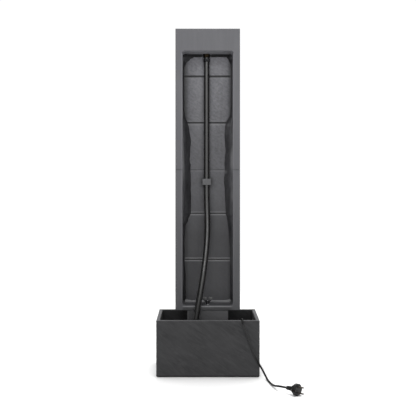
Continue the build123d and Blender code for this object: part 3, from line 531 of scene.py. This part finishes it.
# Mains cord and riser hose, each one smooth line through its route's points
cord_route = [
    (0.043, -0.079, 0.052),
    (0.06311, -0.079, 0.052),
    (0.08869, -0.082, 0.06591),
    (0.10507, -0.08801, 0.09798),
    (0.10993, -0.09306, 0.12792),
    (0.11189, -0.09699, 0.158),
    (0.1133, -0.098, 0.1845),
    (0.1151, -0.1103, 0.1968),
    (0.1169, -0.1277, 0.1968),
    (0.1187, -0.14, 0.1845),
    (0.126, -0.1404, 0.16019),
    (0.1385, -0.1355, 0.12796),
    (0.152, -0.1315, 0.08994),
    (0.168, -0.1315, 0.055),
    (0.185, -0.139, 0.02798),
    (0.196, -0.157, 0.0072),
    (0.1995, -0.187, 0.0036),
    (0.205, -0.225, 0.0036),
    (0.211, -0.262, 0.00613),
    (0.217, -0.296, 0.01224),
    (0.226, -0.326, 0.019),
    (0.247, -0.345, 0.019),
]
hose_route = [
    (-0.003, 0.032, 1.106),
    (-0.003, 0.032, 0.736),
    (-0.003, 0.032, 0.60257),
    (0.00118, 0.00814, 0.47139),
    (-0.0162, -0.03793, 0.32553),
    (-0.03952, -0.06846, 0.20477),
    (-0.047, -0.079, 0.129),
    (-0.047, -0.079, 0.085),
]
cord_radius = 0.00325
hose_radius = 0.01


def smooth_line(name, route, radius, material, node):
    curve = bpy.data.curves.new(name, "CURVE")
    curve.dimensions = "3D"
    line = curve.splines.new("NURBS")
    line.points.add(len(route) - 1)
    for point, place_on_route in zip(line.points, route):
        point.co = (*place_on_route, 1)
    line.order_u = 3
    line.use_endpoint_u = True
    line.resolution_u = 12
    curve.bevel_depth = radius
    curve.bevel_resolution = 5
    curve.use_fill_caps = True
    return settle(bpy.data.objects.new(name, curve), material, node)


cord = smooth_line("cord_line", cord_route, cord_radius, "cord_rubber", "mains_cord")
hose = smooth_line("hose_line", hose_route, hose_radius, "hose_rubber", "riser_hose")


# Mesh helpers
def closed(name, points, faces, material, node, painted):
    mesh = bpy.data.meshes.new(name)
    mesh.from_pydata(points, [], faces)
    mesh.polygons.foreach_set("use_smooth", [True] * len(mesh.polygons))
    for layer, values in painted.items():
        attribute = mesh.attributes.new(layer, "FLOAT", "POINT")
        attribute.data.foreach_set("value", values)
    mesh.update()
    return settle(bpy.data.objects.new(name, mesh), material, node)


def skin(name, loops, material, node, painted):
    # A closed skin over loops that all have the same number of points, with a face on each end
    count = len(loops[0])
    points = [point for loop in loops for point in loop]
    faces = []
    for row in range(len(loops) - 1):
        for column in range(count):
            following = (column + 1) % count
            faces.append(
                (
                    row * count + column,
                    row * count + following,
                    (row + 1) * count + following,
                    (row + 1) * count + column,
                )
            )
    faces.append(tuple(reversed(range(count))))
    faces.append(tuple(range((len(loops) - 1) * count, len(loops) * count)))
    return closed(name, points, faces, material, node, painted)


def rounded_rectangle(half_x, half_y, radius, cuts_x, cuts_y, cuts_corner):
    # Points with outward directions, counter-clockwise from the start of the right rear corner
    corners = [
        (half_x - radius, -half_y + radius, -90, cuts_y),
        (half_x - radius, half_y - radius, 0, cuts_x),
        (-half_x + radius, half_y - radius, 90, cuts_y),
        (-half_x + radius, -half_y + radius, 180, cuts_x),
    ]
    ring = []
    for turn, (x, y, start, cuts) in enumerate(corners):
        for step in range(cuts_corner + 1):
            angle = math.radians(start + 90 * step / cuts_corner)
            out = (math.cos(angle), math.sin(angle))
            ring.append((x + radius * out[0], y + radius * out[1], *out))
        next_x, next_y, next_start, _ = corners[(turn + 1) % 4]
        angle = math.radians(next_start)
        out = (math.cos(angle), math.sin(angle))
        begin = ring[-1]
        end = (next_x + radius * out[0], next_y + radius * out[1])
        for step in range(1, cuts):
            share = step / cuts
            ring.append(
                (begin[0] + (end[0] - begin[0]) * share, begin[1] + (end[1] - begin[1]) * share, *out)
            )
    return ring


def clamped(value):
    return min(max(value, 0), 1)


def smooth(share):
    return share * share * (3 - 2 * share)


def leaning(x, z, lean):
    # Distances along and across lines that lean
    return x * math.cos(lean) - z * math.sin(lean), x * math.sin(lean) + z * math.cos(lean)


def slate_height(x, y, z, seed):
    # Slanting cleavage relief, about -1 to 1
    along, across = leaning(x, z, slate_lean)
    spot = Vector((along * 16 + seed, y * 40, across * 75))
    return noise.fractal(spot, 0.9, 2.1, 4)


def between(marks, z):
    # Values at a height, eased from the mark below it to the mark above it
    for (low, *low_values), (high, *high_values) in zip(marks, marks[1:]):
        if low <= z <= high:
            share = smooth((z - low) / (high - low))
            return [a + (b - a) * share for a, b in zip(low_values, high_values)]
    return marks[-1][1:]


def eased(depth, radius):
    # How far a surface has dropped at a distance inside its rounded edge
    if depth >= radius:
        return 0.0
    return radius - math.sqrt(max(radius**2 - (radius - depth) ** 2, 0))


def quarter(steps):
    # Sines and cosines at even steps over a quarter turn
    angles = [math.radians(90 * step / steps) for step in range(steps + 1)]
    return [(math.sin(angle), math.cos(angle)) for angle in angles]


# Basin: one skin from the foot, up the outside, over the rim and down to the inner floor
def basin_skin():
    half_x, half_y = basin_high.x, basin_high.y
    top = basin_high.z
    foot_round, rim_round, inner_round, corner = 0.006, 0.0025, 0.009, 0.003
    flat_inset, last_inset = 0.03, 0.09
    outside_rows, inside_rows = 58, 24
    cuts = (84, 60, 5)
    outside_inset, corner_turn = 0.004, 0.05
    lift_size, chip_size, slate_seed = 0.0003, 0.0003, 3
    rim_step_wear, rim_wear, inner_wear, corner_wear = 0.15, 0.75, 0.7, 0.25
    front_start, front_fade = 0.09, 0.02
    inner_shade, depth_shade = 0.45, 0.4
    foot_shade, foot_shade_height = 0.6, 0.012
    profile = [(last_inset, 0, 0), (flat_inset, 0, 0)]
    for sine, cosine in quarter(5):
        profile.append((foot_round * (1 - sine), foot_round * (1 - cosine), 0))
    for row in range(1, outside_rows):
        profile.append((0, foot_round + (top - rim_round - foot_round) * row / outside_rows, 0))
    for step, (sine, cosine) in enumerate(quarter(4)):
        profile.append((rim_round * (1 - cosine), top - rim_round * (1 - sine), rim_step_wear * step))
    profile.append((basin_wall / 2, top, rim_wear))
    for sine, cosine in quarter(4):
        inset = basin_wall - rim_round * (1 - sine)
        profile.append((inset, top - rim_round * (1 - cosine), inner_wear))
    for row in range(1, inside_rows):
        drop = (top - rim_round - basin_floor) * row / inside_rows
        profile.append((basin_wall, top - rim_round - drop, 0))
    profile += [(inset, basin_floor, 0) for inset in (basin_wall, flat_inset, last_inset)]
    loops = []
    wear = []
    shade = []
    for inset, height, worn in profile:
        radius = corner + (inner_round - corner) * min(inset / basin_wall, 1)
        ring = rounded_rectangle(half_x - inset, half_y - inset, radius, *cuts)
        outside = inset < outside_inset
        loop = []
        for x, y, out_x, out_y in ring:
            lift = 0
            if inset < flat_inset:
                lift = lift_size * slate_height(x, y, height, slate_seed) * (1 if outside else -1)
            chip = chip_size * noise.noise(Vector((x * 70, y * 70, 5))) if worn else 0
            loop.append((x + out_x * lift, y + out_y * lift, height + chip))
            at_corner = abs(out_x * out_y) > corner_turn and outside and height > foot_round
            front = clamped((y - front_start) / front_fade)
            wear.append(max(worn * (1 - front), corner_wear if at_corner else 0))
            # Painted shade: darker inside the basin, deeper towards its floor, and along the foot outside
            depth = (top - height) / top
            inside = inner_shade + depth_shade * depth
            shade.append(inside if inset >= basin_wall else max(0, foot_shade - height / foot_shade_height))
        loops.append(loop)
    return skin("basin_shell", loops, "cast_slate", "basin", {"wear": wear, "shade": shade})


# Pedestal: four walls with eased corners and a deck
def pedestal_skin():
    centre_y = (pedestal_low.y + pedestal_high.y) / 2
    half_x = pedestal_high.x
    half_y = pedestal_high.y - centre_y
    foot, top = pedestal_low.z, pedestal_high.z
    wall, deck, corner = 0.01, 0.016, 0.006
    edge_round, edge_middle, deck_inset = 0.001, 0.0003, 0.03
    edge_wear, corner_wear, corner_turn = 0.3, 0.3, 0.2
    pale_middle, pale_slope = 0.33, 0.17
    lift_size, slate_seed = 0.00025, 9
    rows = 48
    cuts = (36, 24, 6)
    profile = [(wall, top - deck, 0), (wall, foot, 0)]
    for row in range(rows + 1):
        profile.append((0, foot + (top - edge_round - foot) * row / rows, 0))
    profile += [(edge_middle, top - edge_middle, edge_wear), (edge_round, top, edge_wear)]
    profile.append((deck_inset, top, 0))
    loops = []
    wear = []
    pale = []
    for inset, height, worn in profile:
        ring = rounded_rectangle(half_x - inset, half_y - inset, corner, *cuts)
        loop = []
        for x, y, out_x, out_y in ring:
            lift = 0 if inset else lift_size * slate_height(x, y, height, slate_seed)
            loop.append((x + out_x * lift, centre_y + y + out_y * lift, height))
            wear.append(max(worn, corner_wear if abs(out_x * out_y) > corner_turn else 0))
            # Painted light on the pedestal, lighter towards plus X
            pale.append(pale_middle + pale_slope * x / half_x)
        loops.append(loop)
    return skin("pedestal_shell", loops, "cast_slate", "pedestal", {"wear": wear, "pale": pale})


basin_skin()
pedestal_skin()


# Slabs: fine grain on the back, riven steps on the front, eased and chipped arrises
riven_lean = math.radians(-24)


def riven_height(x, z, seed):
    # Flat steps with short slopes between them, and a fine grain
    step_height, grain_height = 0.0008, 0.0004
    along, across = leaning(x, z, riven_lean)
    swell = noise.fractal(Vector((along * 7 + seed, across * 15, seed * 2)), 0.85, 2.0, 4) * 2.6
    level = math.floor(swell)
    plateau = level + smooth(clamped((swell - level - 0.35) / 0.3))
    fine = noise.fractal(Vector((along * 45, across * 95, seed)), 0.8, 2.0, 3)
    return step_height * plateau + grain_height * fine


def edge_marks(low, high, step, rounding):
    # Places across a face, even in the middle and closer towards both rounded edges
    shares = (0, 0.08, 0.3, 0.6, 1, 1.6, 2.3)
    marks = [low + rounding * share for share in shares]
    start, stop = marks[-1], high - rounding * shares[-1]
    count = round((stop - start) / step)
    for number in range(1, count):
        marks.append(start + (stop - start) * number / count)
    marks += [high - rounding * share for share in reversed(shares)]
    return marks


# Height on the wall, the hose's place across it, and the depth and half width of its soft shadow
hose_shade = [
    (0.2, -0.05, 0.05, 0.03),
    (0.25, -0.045, 0.1, 0.03),
    (0.33, -0.027, 0.22, 0.032),
    (0.42, -0.012, 0.27, 0.032),
    (0.5, -0.003, 0.45, 0.026),
    (0.6, -0.003, 0.5, 0.02),
    (0.7, -0.003, 0.46, 0.017),
    (0.85, -0.003, 0.45, 0.016),
    (0.95, -0.003, 0.4, 0.015),
    (1.05, -0.003, 0.2, 0.015),
    (1.108, -0.003, 0.1, 0.015),
    # The last two rows paint dark shade across the strip just under the top rail
    (1.112, -0.003, 0.97, 0.04),
    (1.118, -0.003, 0.97, 0.04),
]
clip_low, clip_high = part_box("hose_clip")

# Painted shade along each rail: how far it reaches, how it falls off, and its depth on slabs 1 to 6
left_rail_shade = (0.0205, 1.9, (0.66, 0.68, 0.75, 0.85, 0.88, 0.86))
right_rail_shade = (0.0165, 1.4, (0.6, 0.6, 0.65, 0.75, 0.8, 0.8))

# How the joints at the foot and at the head of slabs 1 to 6 are soiled and rubbed
foot_reach = (0.0032, 0.0032, 0.0032, 0.0032, 0.0032, 0.0036)
foot_gain = (1, 1, 1, 1, 1, 1.8)
head_reach = (0.0032, 0.0032, 0.0032, 0.0065, 0.006, 0.0032)
head_gain = (1, 1, 1, 1.4, 2.2, 1)
foot_wear = (0, 0.85, 0.5, 0, 0.4, 0.1)
head_wear = (0.95, 0.75, 0.3, 0.75, 0.35, 0)
foot_rub = 0.0042
head_rub = (0.0042, 0.0042, 0.0042, 0.0078, 0.0068, 0.0042)
rub_half = 0.0028


def soft_shade(x, z, number):
    # Painted soft shade on a slab's back in the hollow beside the rails, the hose and the clip
    shade_margin, clip_depth, clip_reach = 0.006, 0.35, 0.01
    if not hollow_floor < z < hollow_ceiling or abs(x) > hollow_half + shade_margin:
        return 0.0
    reach, power, depths = right_rail_shade if x > 0 else left_rail_shade
    from_rail = max(0, hollow_half - abs(x))
    rail = depths[number - 1] * max(0, 1 - (from_rail / reach) ** power)
    middle, hose_depth, half = between(hose_shade, z)
    beside_hose = hose_depth * math.exp(-(((x - middle) / half) ** 2))
    aside = max(clip_low.x - x, x - clip_high.x, 0)
    above = max(clip_low.z - z, (z - clip_high.z) * 1.6, 0)
    beside_clip = clip_depth * math.exp(-((aside**2 + above**2) / clip_reach**2))
    return 1 - (1 - rail) * (1 - beside_hose) * (1 - beside_clip)


def slab_skin(number):
    node = f"slab_{number}"
    low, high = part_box(node)
    seam_at_foot, seam_at_head = number == seam_above + 1, number == seam_above
    seam_round, joint_round, side_round = 0.0008, 0.0022, 0.0012
    seam_grime, joint_grime = 0.3, 0.9
    foot_round = seam_round if seam_at_foot else joint_round
    head_round = seam_round if seam_at_head else joint_round
    foot_grime = seam_grime if seam_at_foot else joint_grime
    head_grime = seam_grime if seam_at_head else joint_grime
    has_weir = number == slab_count
    weir_lip, weir_gap = 0.005, 0.0004
    grid_step, rim_width, arris_width = 0.003, 0.006, 0.0035
    chip_size, front_sink, back_lift = 0.0006, 0.0005, 0.00018
    slab = number - 1
    xs = edge_marks(low.x, high.x, grid_step, side_round)
    if has_weir:
        xs += [side * (weir_half + gap) for side in (-1, 1) for gap in (-weir_gap, weir_gap)]
        xs.sort()
    rises = edge_marks(0, high.z - low.z, grid_step, joint_round)
    front = []
    back = []
    wear_front = []
    wear_back = []
    grime_back = []
    shade_back = []
    for rise in rises:
        for x in xs:
            notch = weir_drop if has_weir and abs(x) < weir_half else 0
            head = high.z - notch
            z = low.z + rise * (head - low.z) / (high.z - low.z)
            from_foot, from_head, from_side = z - low.z, head - z, min(x - low.x, high.x - x)
            from_edge = min(from_side, from_foot, from_head)
            drop = max(eased(from_foot, foot_round), eased(from_side, side_round))
            drop_front = max(drop, eased(from_head, weir_lip if notch else head_round))
            drop_back = max(drop, eased(from_head, head_round))
            inside = min(1, from_edge / rim_width)
            chip = chip_size * max(0, noise.noise(Vector((x * 60, z * 60, number * 7)))) * (1 - inside)
            y_front = high.y - drop_front - chip + (riven_height(x, z, number) - front_sink) * inside
            y_back = low.y + drop_back + chip - back_lift * slate_height(x, 0, z, number) * inside
            front.append((x, y_front, z))
            back.append((x, y_back, z))
            wear_front.append(0.5 * max(0, 1 - from_edge / arris_width))
            shade_back.append(soft_shade(x, z, number))
            foot_soil = min(1, foot_gain[slab] * max(0, 1 - from_foot / foot_reach[slab]))
            head_soil = min(1, head_gain[slab] * max(0, 1 - from_head / head_reach[slab]))
            grime_back.append(max(foot_grime * foot_soil, head_grime * head_soil))
            foot_pale = max(0, 1 - abs(from_foot - foot_rub) / rub_half)
            head_pale = max(0, 1 - abs(from_head - head_rub[slab]) / rub_half)
            wear_back.append(max(foot_wear[slab] * foot_pale, head_wear[slab] * head_pale))
    columns, rows = len(xs), len(rises)
    points = front + back
    shift = len(front)
    faces = []
    for row in range(rows - 1):
        for column in range(columns - 1):
            first = row * columns + column
            quad = (first, first + columns, first + columns + 1, first + 1)
            faces.append(quad)
            faces.append(tuple(shift + index for index in reversed(quad)))
    rim = list(range(columns))
    rim += [row * columns + columns - 1 for row in range(1, rows)]
    rim += [(rows - 1) * columns + column for column in range(columns - 2, -1, -1)]
    rim += [row * columns for row in range(rows - 2, 0, -1)]
    for here, there in zip(rim, rim[1:] + rim[:1]):
        faces.append((here, there, shift + there, shift + here))
    clear = [0.0] * shift
    painted = {"wear": wear_front + wear_back, "grime": clear + grime_back, "shade": clear + shade_back}
    return closed(f"riven_{node}", points, faces, "riven_slate", node, painted)


for number in range(1, slab_count + 1):
    slab_skin(number)


# Sealing beads down both sides of the hollow: height, reach over the slab and rise along the rail
left_marks = [
    (0.233, 0.0095, 0.016),
    (0.32, 0.0095, 0.016),
    (0.37, 0.006, 0.014),
    (0.457, 0.005, 0.014),
    (0.502, 0.009, 0.024),
    (0.527, 0.0185, 0.06),
    (0.552, 0.028, 0.078),
    (0.598, 0.029, 0.078),
    (0.669, 0.028, 0.078),
    (0.719, 0.027, 0.078),
    (0.74, 0.024, 0.078),
    (0.777, 0.0265, 0.078),
    (0.812, 0.028, 0.078),
    (0.83, 0.0245, 0.078),
    (0.852, 0.022, 0.074),
    (0.873, 0.0165, 0.055),
    (0.891, 0.0095, 0.028),
    (0.905, 0.006, 0.018),
    (0.92, 0.0045, 0.014),
    (1.07, 0.0045, 0.014),
    (1.088, 0.012, 0.016),
    (1.1, 0.024, 0.019),
    (1.11, 0.04, 0.022),
    (1.118, 0.053, 0.022),
]
right_marks = [
    (0.233, 0.007, 0.014),
    (0.403, 0.0065, 0.014),
    (0.457, 0.009, 0.02),
    (0.492, 0.012, 0.03),
    (0.527, 0.0165, 0.055),
    (0.552, 0.022, 0.078),
    (0.598, 0.024, 0.078),
    (0.633, 0.0255, 0.078),
    (0.669, 0.0285, 0.078),
    (0.697, 0.0255, 0.078),
    (0.733, 0.026, 0.078),
    (0.776, 0.0235, 0.078),
    (0.83, 0.026, 0.078),
    (0.862, 0.0245, 0.078),
    (0.873, 0.0218, 0.07),
    (0.883, 0.018, 0.055),
    (0.894, 0.0098, 0.028),
    (0.905, 0.0058, 0.018),
    (0.93, 0.0042, 0.014),
    (1.08, 0.0042, 0.014),
    (1.099, 0.012, 0.016),
    (1.109, 0.019, 0.02),
    (1.118, 0.027, 0.022),
]


# Paler smears on the beads: height, share of the way to the rail, half height, half share and strength
left_smears = [(0.725, 0.96, 0.08, 0.28, 0.75)]
right_smears = [
    (0.4, 0.5, 0.1, 1.0, 0.15),
    (0.612, 0.9, 0.025, 0.3, 0.5),
    (0.655, 0.75, 0.022, 0.25, 0.25),
    (0.672, 0.02, 0.014, 0.3, 0.2),
    (0.697, 0.1, 0.009, 0.24, 0.6),
    (0.71, 0.35, 0.24, 1.6, 0.09),
    (0.742, 0.91, 0.055, 0.3, 1.0),
    (0.81, 0.95, 0.03, 0.2, 0.25),
    (0.845, 0.3, 0.032, 0.5, 0.22),
    (0.864, 0.42, 0.011, 0.3, 0.5),
    (1.01, 0.5, 0.08, 1.0, 0.15),
]


def smeared(smears, z, share):
    most = 0.0
    for at, along, tall, wide, strength in smears:
        away = ((z - at) / tall) ** 2 + ((share - along) / wide) ** 2
        most = max(most, strength * max(0, 1 - away))
    return most


def side_bead(name, side, marks, smears, seed, rail_side_highlight, node):
    stations, across = 340, 14
    tuck = 0.0004
    narrow_reach, widening = 0.01, 0.008
    ragged, finely_ragged, rise_ragged = 0.0004, 0.0008, 0.0025
    lump_size, lump_gain = 0.0005, 0.0011
    highlight_start, highlight_fade = 0.45, 0.4
    hollowing = 1.12
    loops = []
    wear = []
    pale = []
    for station in range(stations + 1):
        z = hollow_floor + (hollow_ceiling - hollow_floor) * station / stations
        reach, rise = between(marks, z)
        wide = clamped((reach - narrow_reach) / widening)
        reach += ragged * (1 + 2 * wide) * noise.fractal(Vector((seed, 0, z * 42)), 0.8, 2, 3)
        reach += finely_ragged * wide * noise.noise(Vector((seed, 7, z * 150)))
        rise += rise_ragged * noise.fractal(Vector((seed + 4, 0, z * 30)), 0.8, 2, 3)
        loop = [(side * (hollow_half + tuck), slab_back + tuck, z)]
        loop_highlight = [0.0]
        loop_pale = [0.0]
        for step in range(across + 1):
            share = step / across
            lump = noise.fractal(Vector((seed + share * 2.2, 3, z * 26)), 0.8, 2, 4)
            lump *= (lump_size + lump_gain * wide) * math.sin(math.pi * share)
            in_from_rail = reach * (1 - share) ** hollowing + lump
            out_from_slab = rise * share**hollowing + lump
            loop.append((side * (hollow_half - in_from_rail), slab_back - out_from_slab, z))
            # Painted highlight on the rail side of the wide beads, carried by the wear value
            loop_highlight.append(rail_side_highlight * wide * clamped((share - highlight_start) / highlight_fade))
            loop_pale.append(smeared(smears, z, share))
        if side < 0:
            # The left bead's loops run the other way round, so its faces point outward too
            for values in (loop, loop_highlight, loop_pale):
                values.reverse()
        loops.append(loop)
        wear += loop_highlight
        pale += loop_pale
    return skin(name, loops, "sealant", node, {"wear": wear, "pale": pale})


side_bead("left_bead", -1, left_marks, left_smears, 11, 0.7, "left_seal_bead")
side_bead("right_bead", 1, right_marks, right_smears, 23, 1.0, "right_seal_bead")


# Cove along the sill, turned up at both ends, with painted light along it, a painted shadow behind the wing
# nut and a painted highlight left of the nut
def sill_cove():
    stations, across = 120, 10
    tuck, hollowing = 0.0003, 1.3
    middle_rise, end_rise, rise_ragged = 0.0045, 0.011, 0.0004
    middle_width, end_width, width_ragged = 0.008, 0.004, 0.0006
    nut_half, highlight_x, highlight_half = 0.009, -0.016, 0.005
    cove_light, highlight_strength = 0.75, 0.25
    loops = []
    wear = []
    for station in range(stations + 1):
        x = hollow_half * (2 * station / stations - 1)
        end = abs(x / hollow_half) ** 8
        nut_shadow = math.exp(-((x / nut_half) ** 2))
        highlight_left_of_nut = math.exp(-(((x - highlight_x) / highlight_half) ** 2))
        rise = middle_rise + end_rise * end + rise_ragged * noise.noise(Vector((x * 60, 1, 0)))
        width = middle_width + end_width * end + width_ragged * noise.noise(Vector((x * 45, 2, 0)))
        loop = [(x, slab_back + tuck, hollow_floor - tuck)]
        for step in range(across + 1):
            share = step / across
            y = slab_back - width * share**hollowing
            loop.append((x, y, hollow_floor + rise * (1 - share) ** hollowing))
        # Painted light on the cove, less at its ends, a painted shadow behind the nut and a painted
        # highlight left of it
        worn = cove_light * (1 - 0.7 * end) * (1 - 0.9 * nut_shadow) + highlight_strength * highlight_left_of_nut
        wear += [worn] * len(loop)
        loops.append(loop)
    return skin("sill_cove", loops, "frame_slate", "sill_seal_bead", {"wear": wear})


sill_cove()


# Floor, painted paler beside the basin and under the plug to lighten the shadows there, a soft box above
# and a second one over the camera
def floor_finish():
    material, tree, shader = new_material("studio_floor", 0.9, 0.1)
    shade = grain(tree, place(tree), 3, 2, 0.5)
    colour = colours(tree, shade, [(0.0, grey(0.7)), (1.0, grey(0.72))])
    out = size_of(tree, along_axis(tree, "X"))
    along = spread(tree, size_of(tree, along_axis(tree, "Y")), 0.2, 0.4, 1, 0)
    # Painted light beside the basin and under the plug, against the shadows there
    beside = multiplied(tree, band(tree, out, (0.165, 0.19), (0.3, 0.42)), along)
    colour = mixed(tree, beside, colour, grey(0.82))
    from_plug = measured(tree, "DISTANCE", (plug_face.x, plug_face.y, 0))
    colour = mixed(tree, spread(tree, from_plug, 0.06, 0.14, 1, 0), colour, grey(0.9))
    far = spread(tree, along_axis(tree, "Y"), 0.7, 1.7, 0, 1)
    tree.links.new(mixed(tree, far, colour, grey(0.8)), shader.inputs["Base Color"])
    return material


floor_mesh = bpy.data.meshes.new("studio_floor")
floor_mesh.from_pydata([(-3, -3, 0), (3, -3, 0), (3, 2, 0), (-3, 2, 0)], [], [(0, 1, 2, 3)])
floor_mesh.materials.append(floor_finish())
floor = bpy.data.objects.new("studio_floor", floor_mesh)
scene.collection.objects.link(floor)

world = bpy.data.worlds.new("studio")
world.use_nodes = True
around = world.node_tree
backdrop = around.nodes["Background"]
backdrop.inputs["Strength"].default_value = 2.0
behind_to_front = around.nodes.new("ShaderNodeMapRange")
behind_to_front.inputs["From Min"].default_value = -1
around.links.new(along_axis(around, "Y", "Generated"), behind_to_front.inputs["Value"])
greys = [(0.0, 1.0), (0.085, 1.0), (0.2, 0.15), (0.45, 0.15), (0.53, 0.52), (1.0, 0.52)]
stops = [(position, grey(level)) for position, level in greys]
around.links.new(colours(around, behind_to_front.outputs["Result"], stops), backdrop.inputs["Color"])
scene.world = world


def soft_box(name, place_at, aim, width, height, power):
    light = bpy.data.lights.new(name, "AREA")
    light.shape = "RECTANGLE"
    light.size = width
    light.size_y = height
    light.energy = power
    box = bpy.data.objects.new(name, light)
    scene.collection.objects.link(box)
    box.location = place_at
    box.rotation_euler = (Vector(aim) - Vector(place_at)).to_track_quat("-Z", "Y").to_euler()
    box.visible_camera = False
    return box


soft_box("top_box", (0.1, 0.25, 2.7), (0.1, 0.25, 0), 1.8, 1.8, 80)
soft_box("camera_box", (-0.25, -2.9, 2.0), (0, 0, 1.05), 1.6, 0.9, 27)
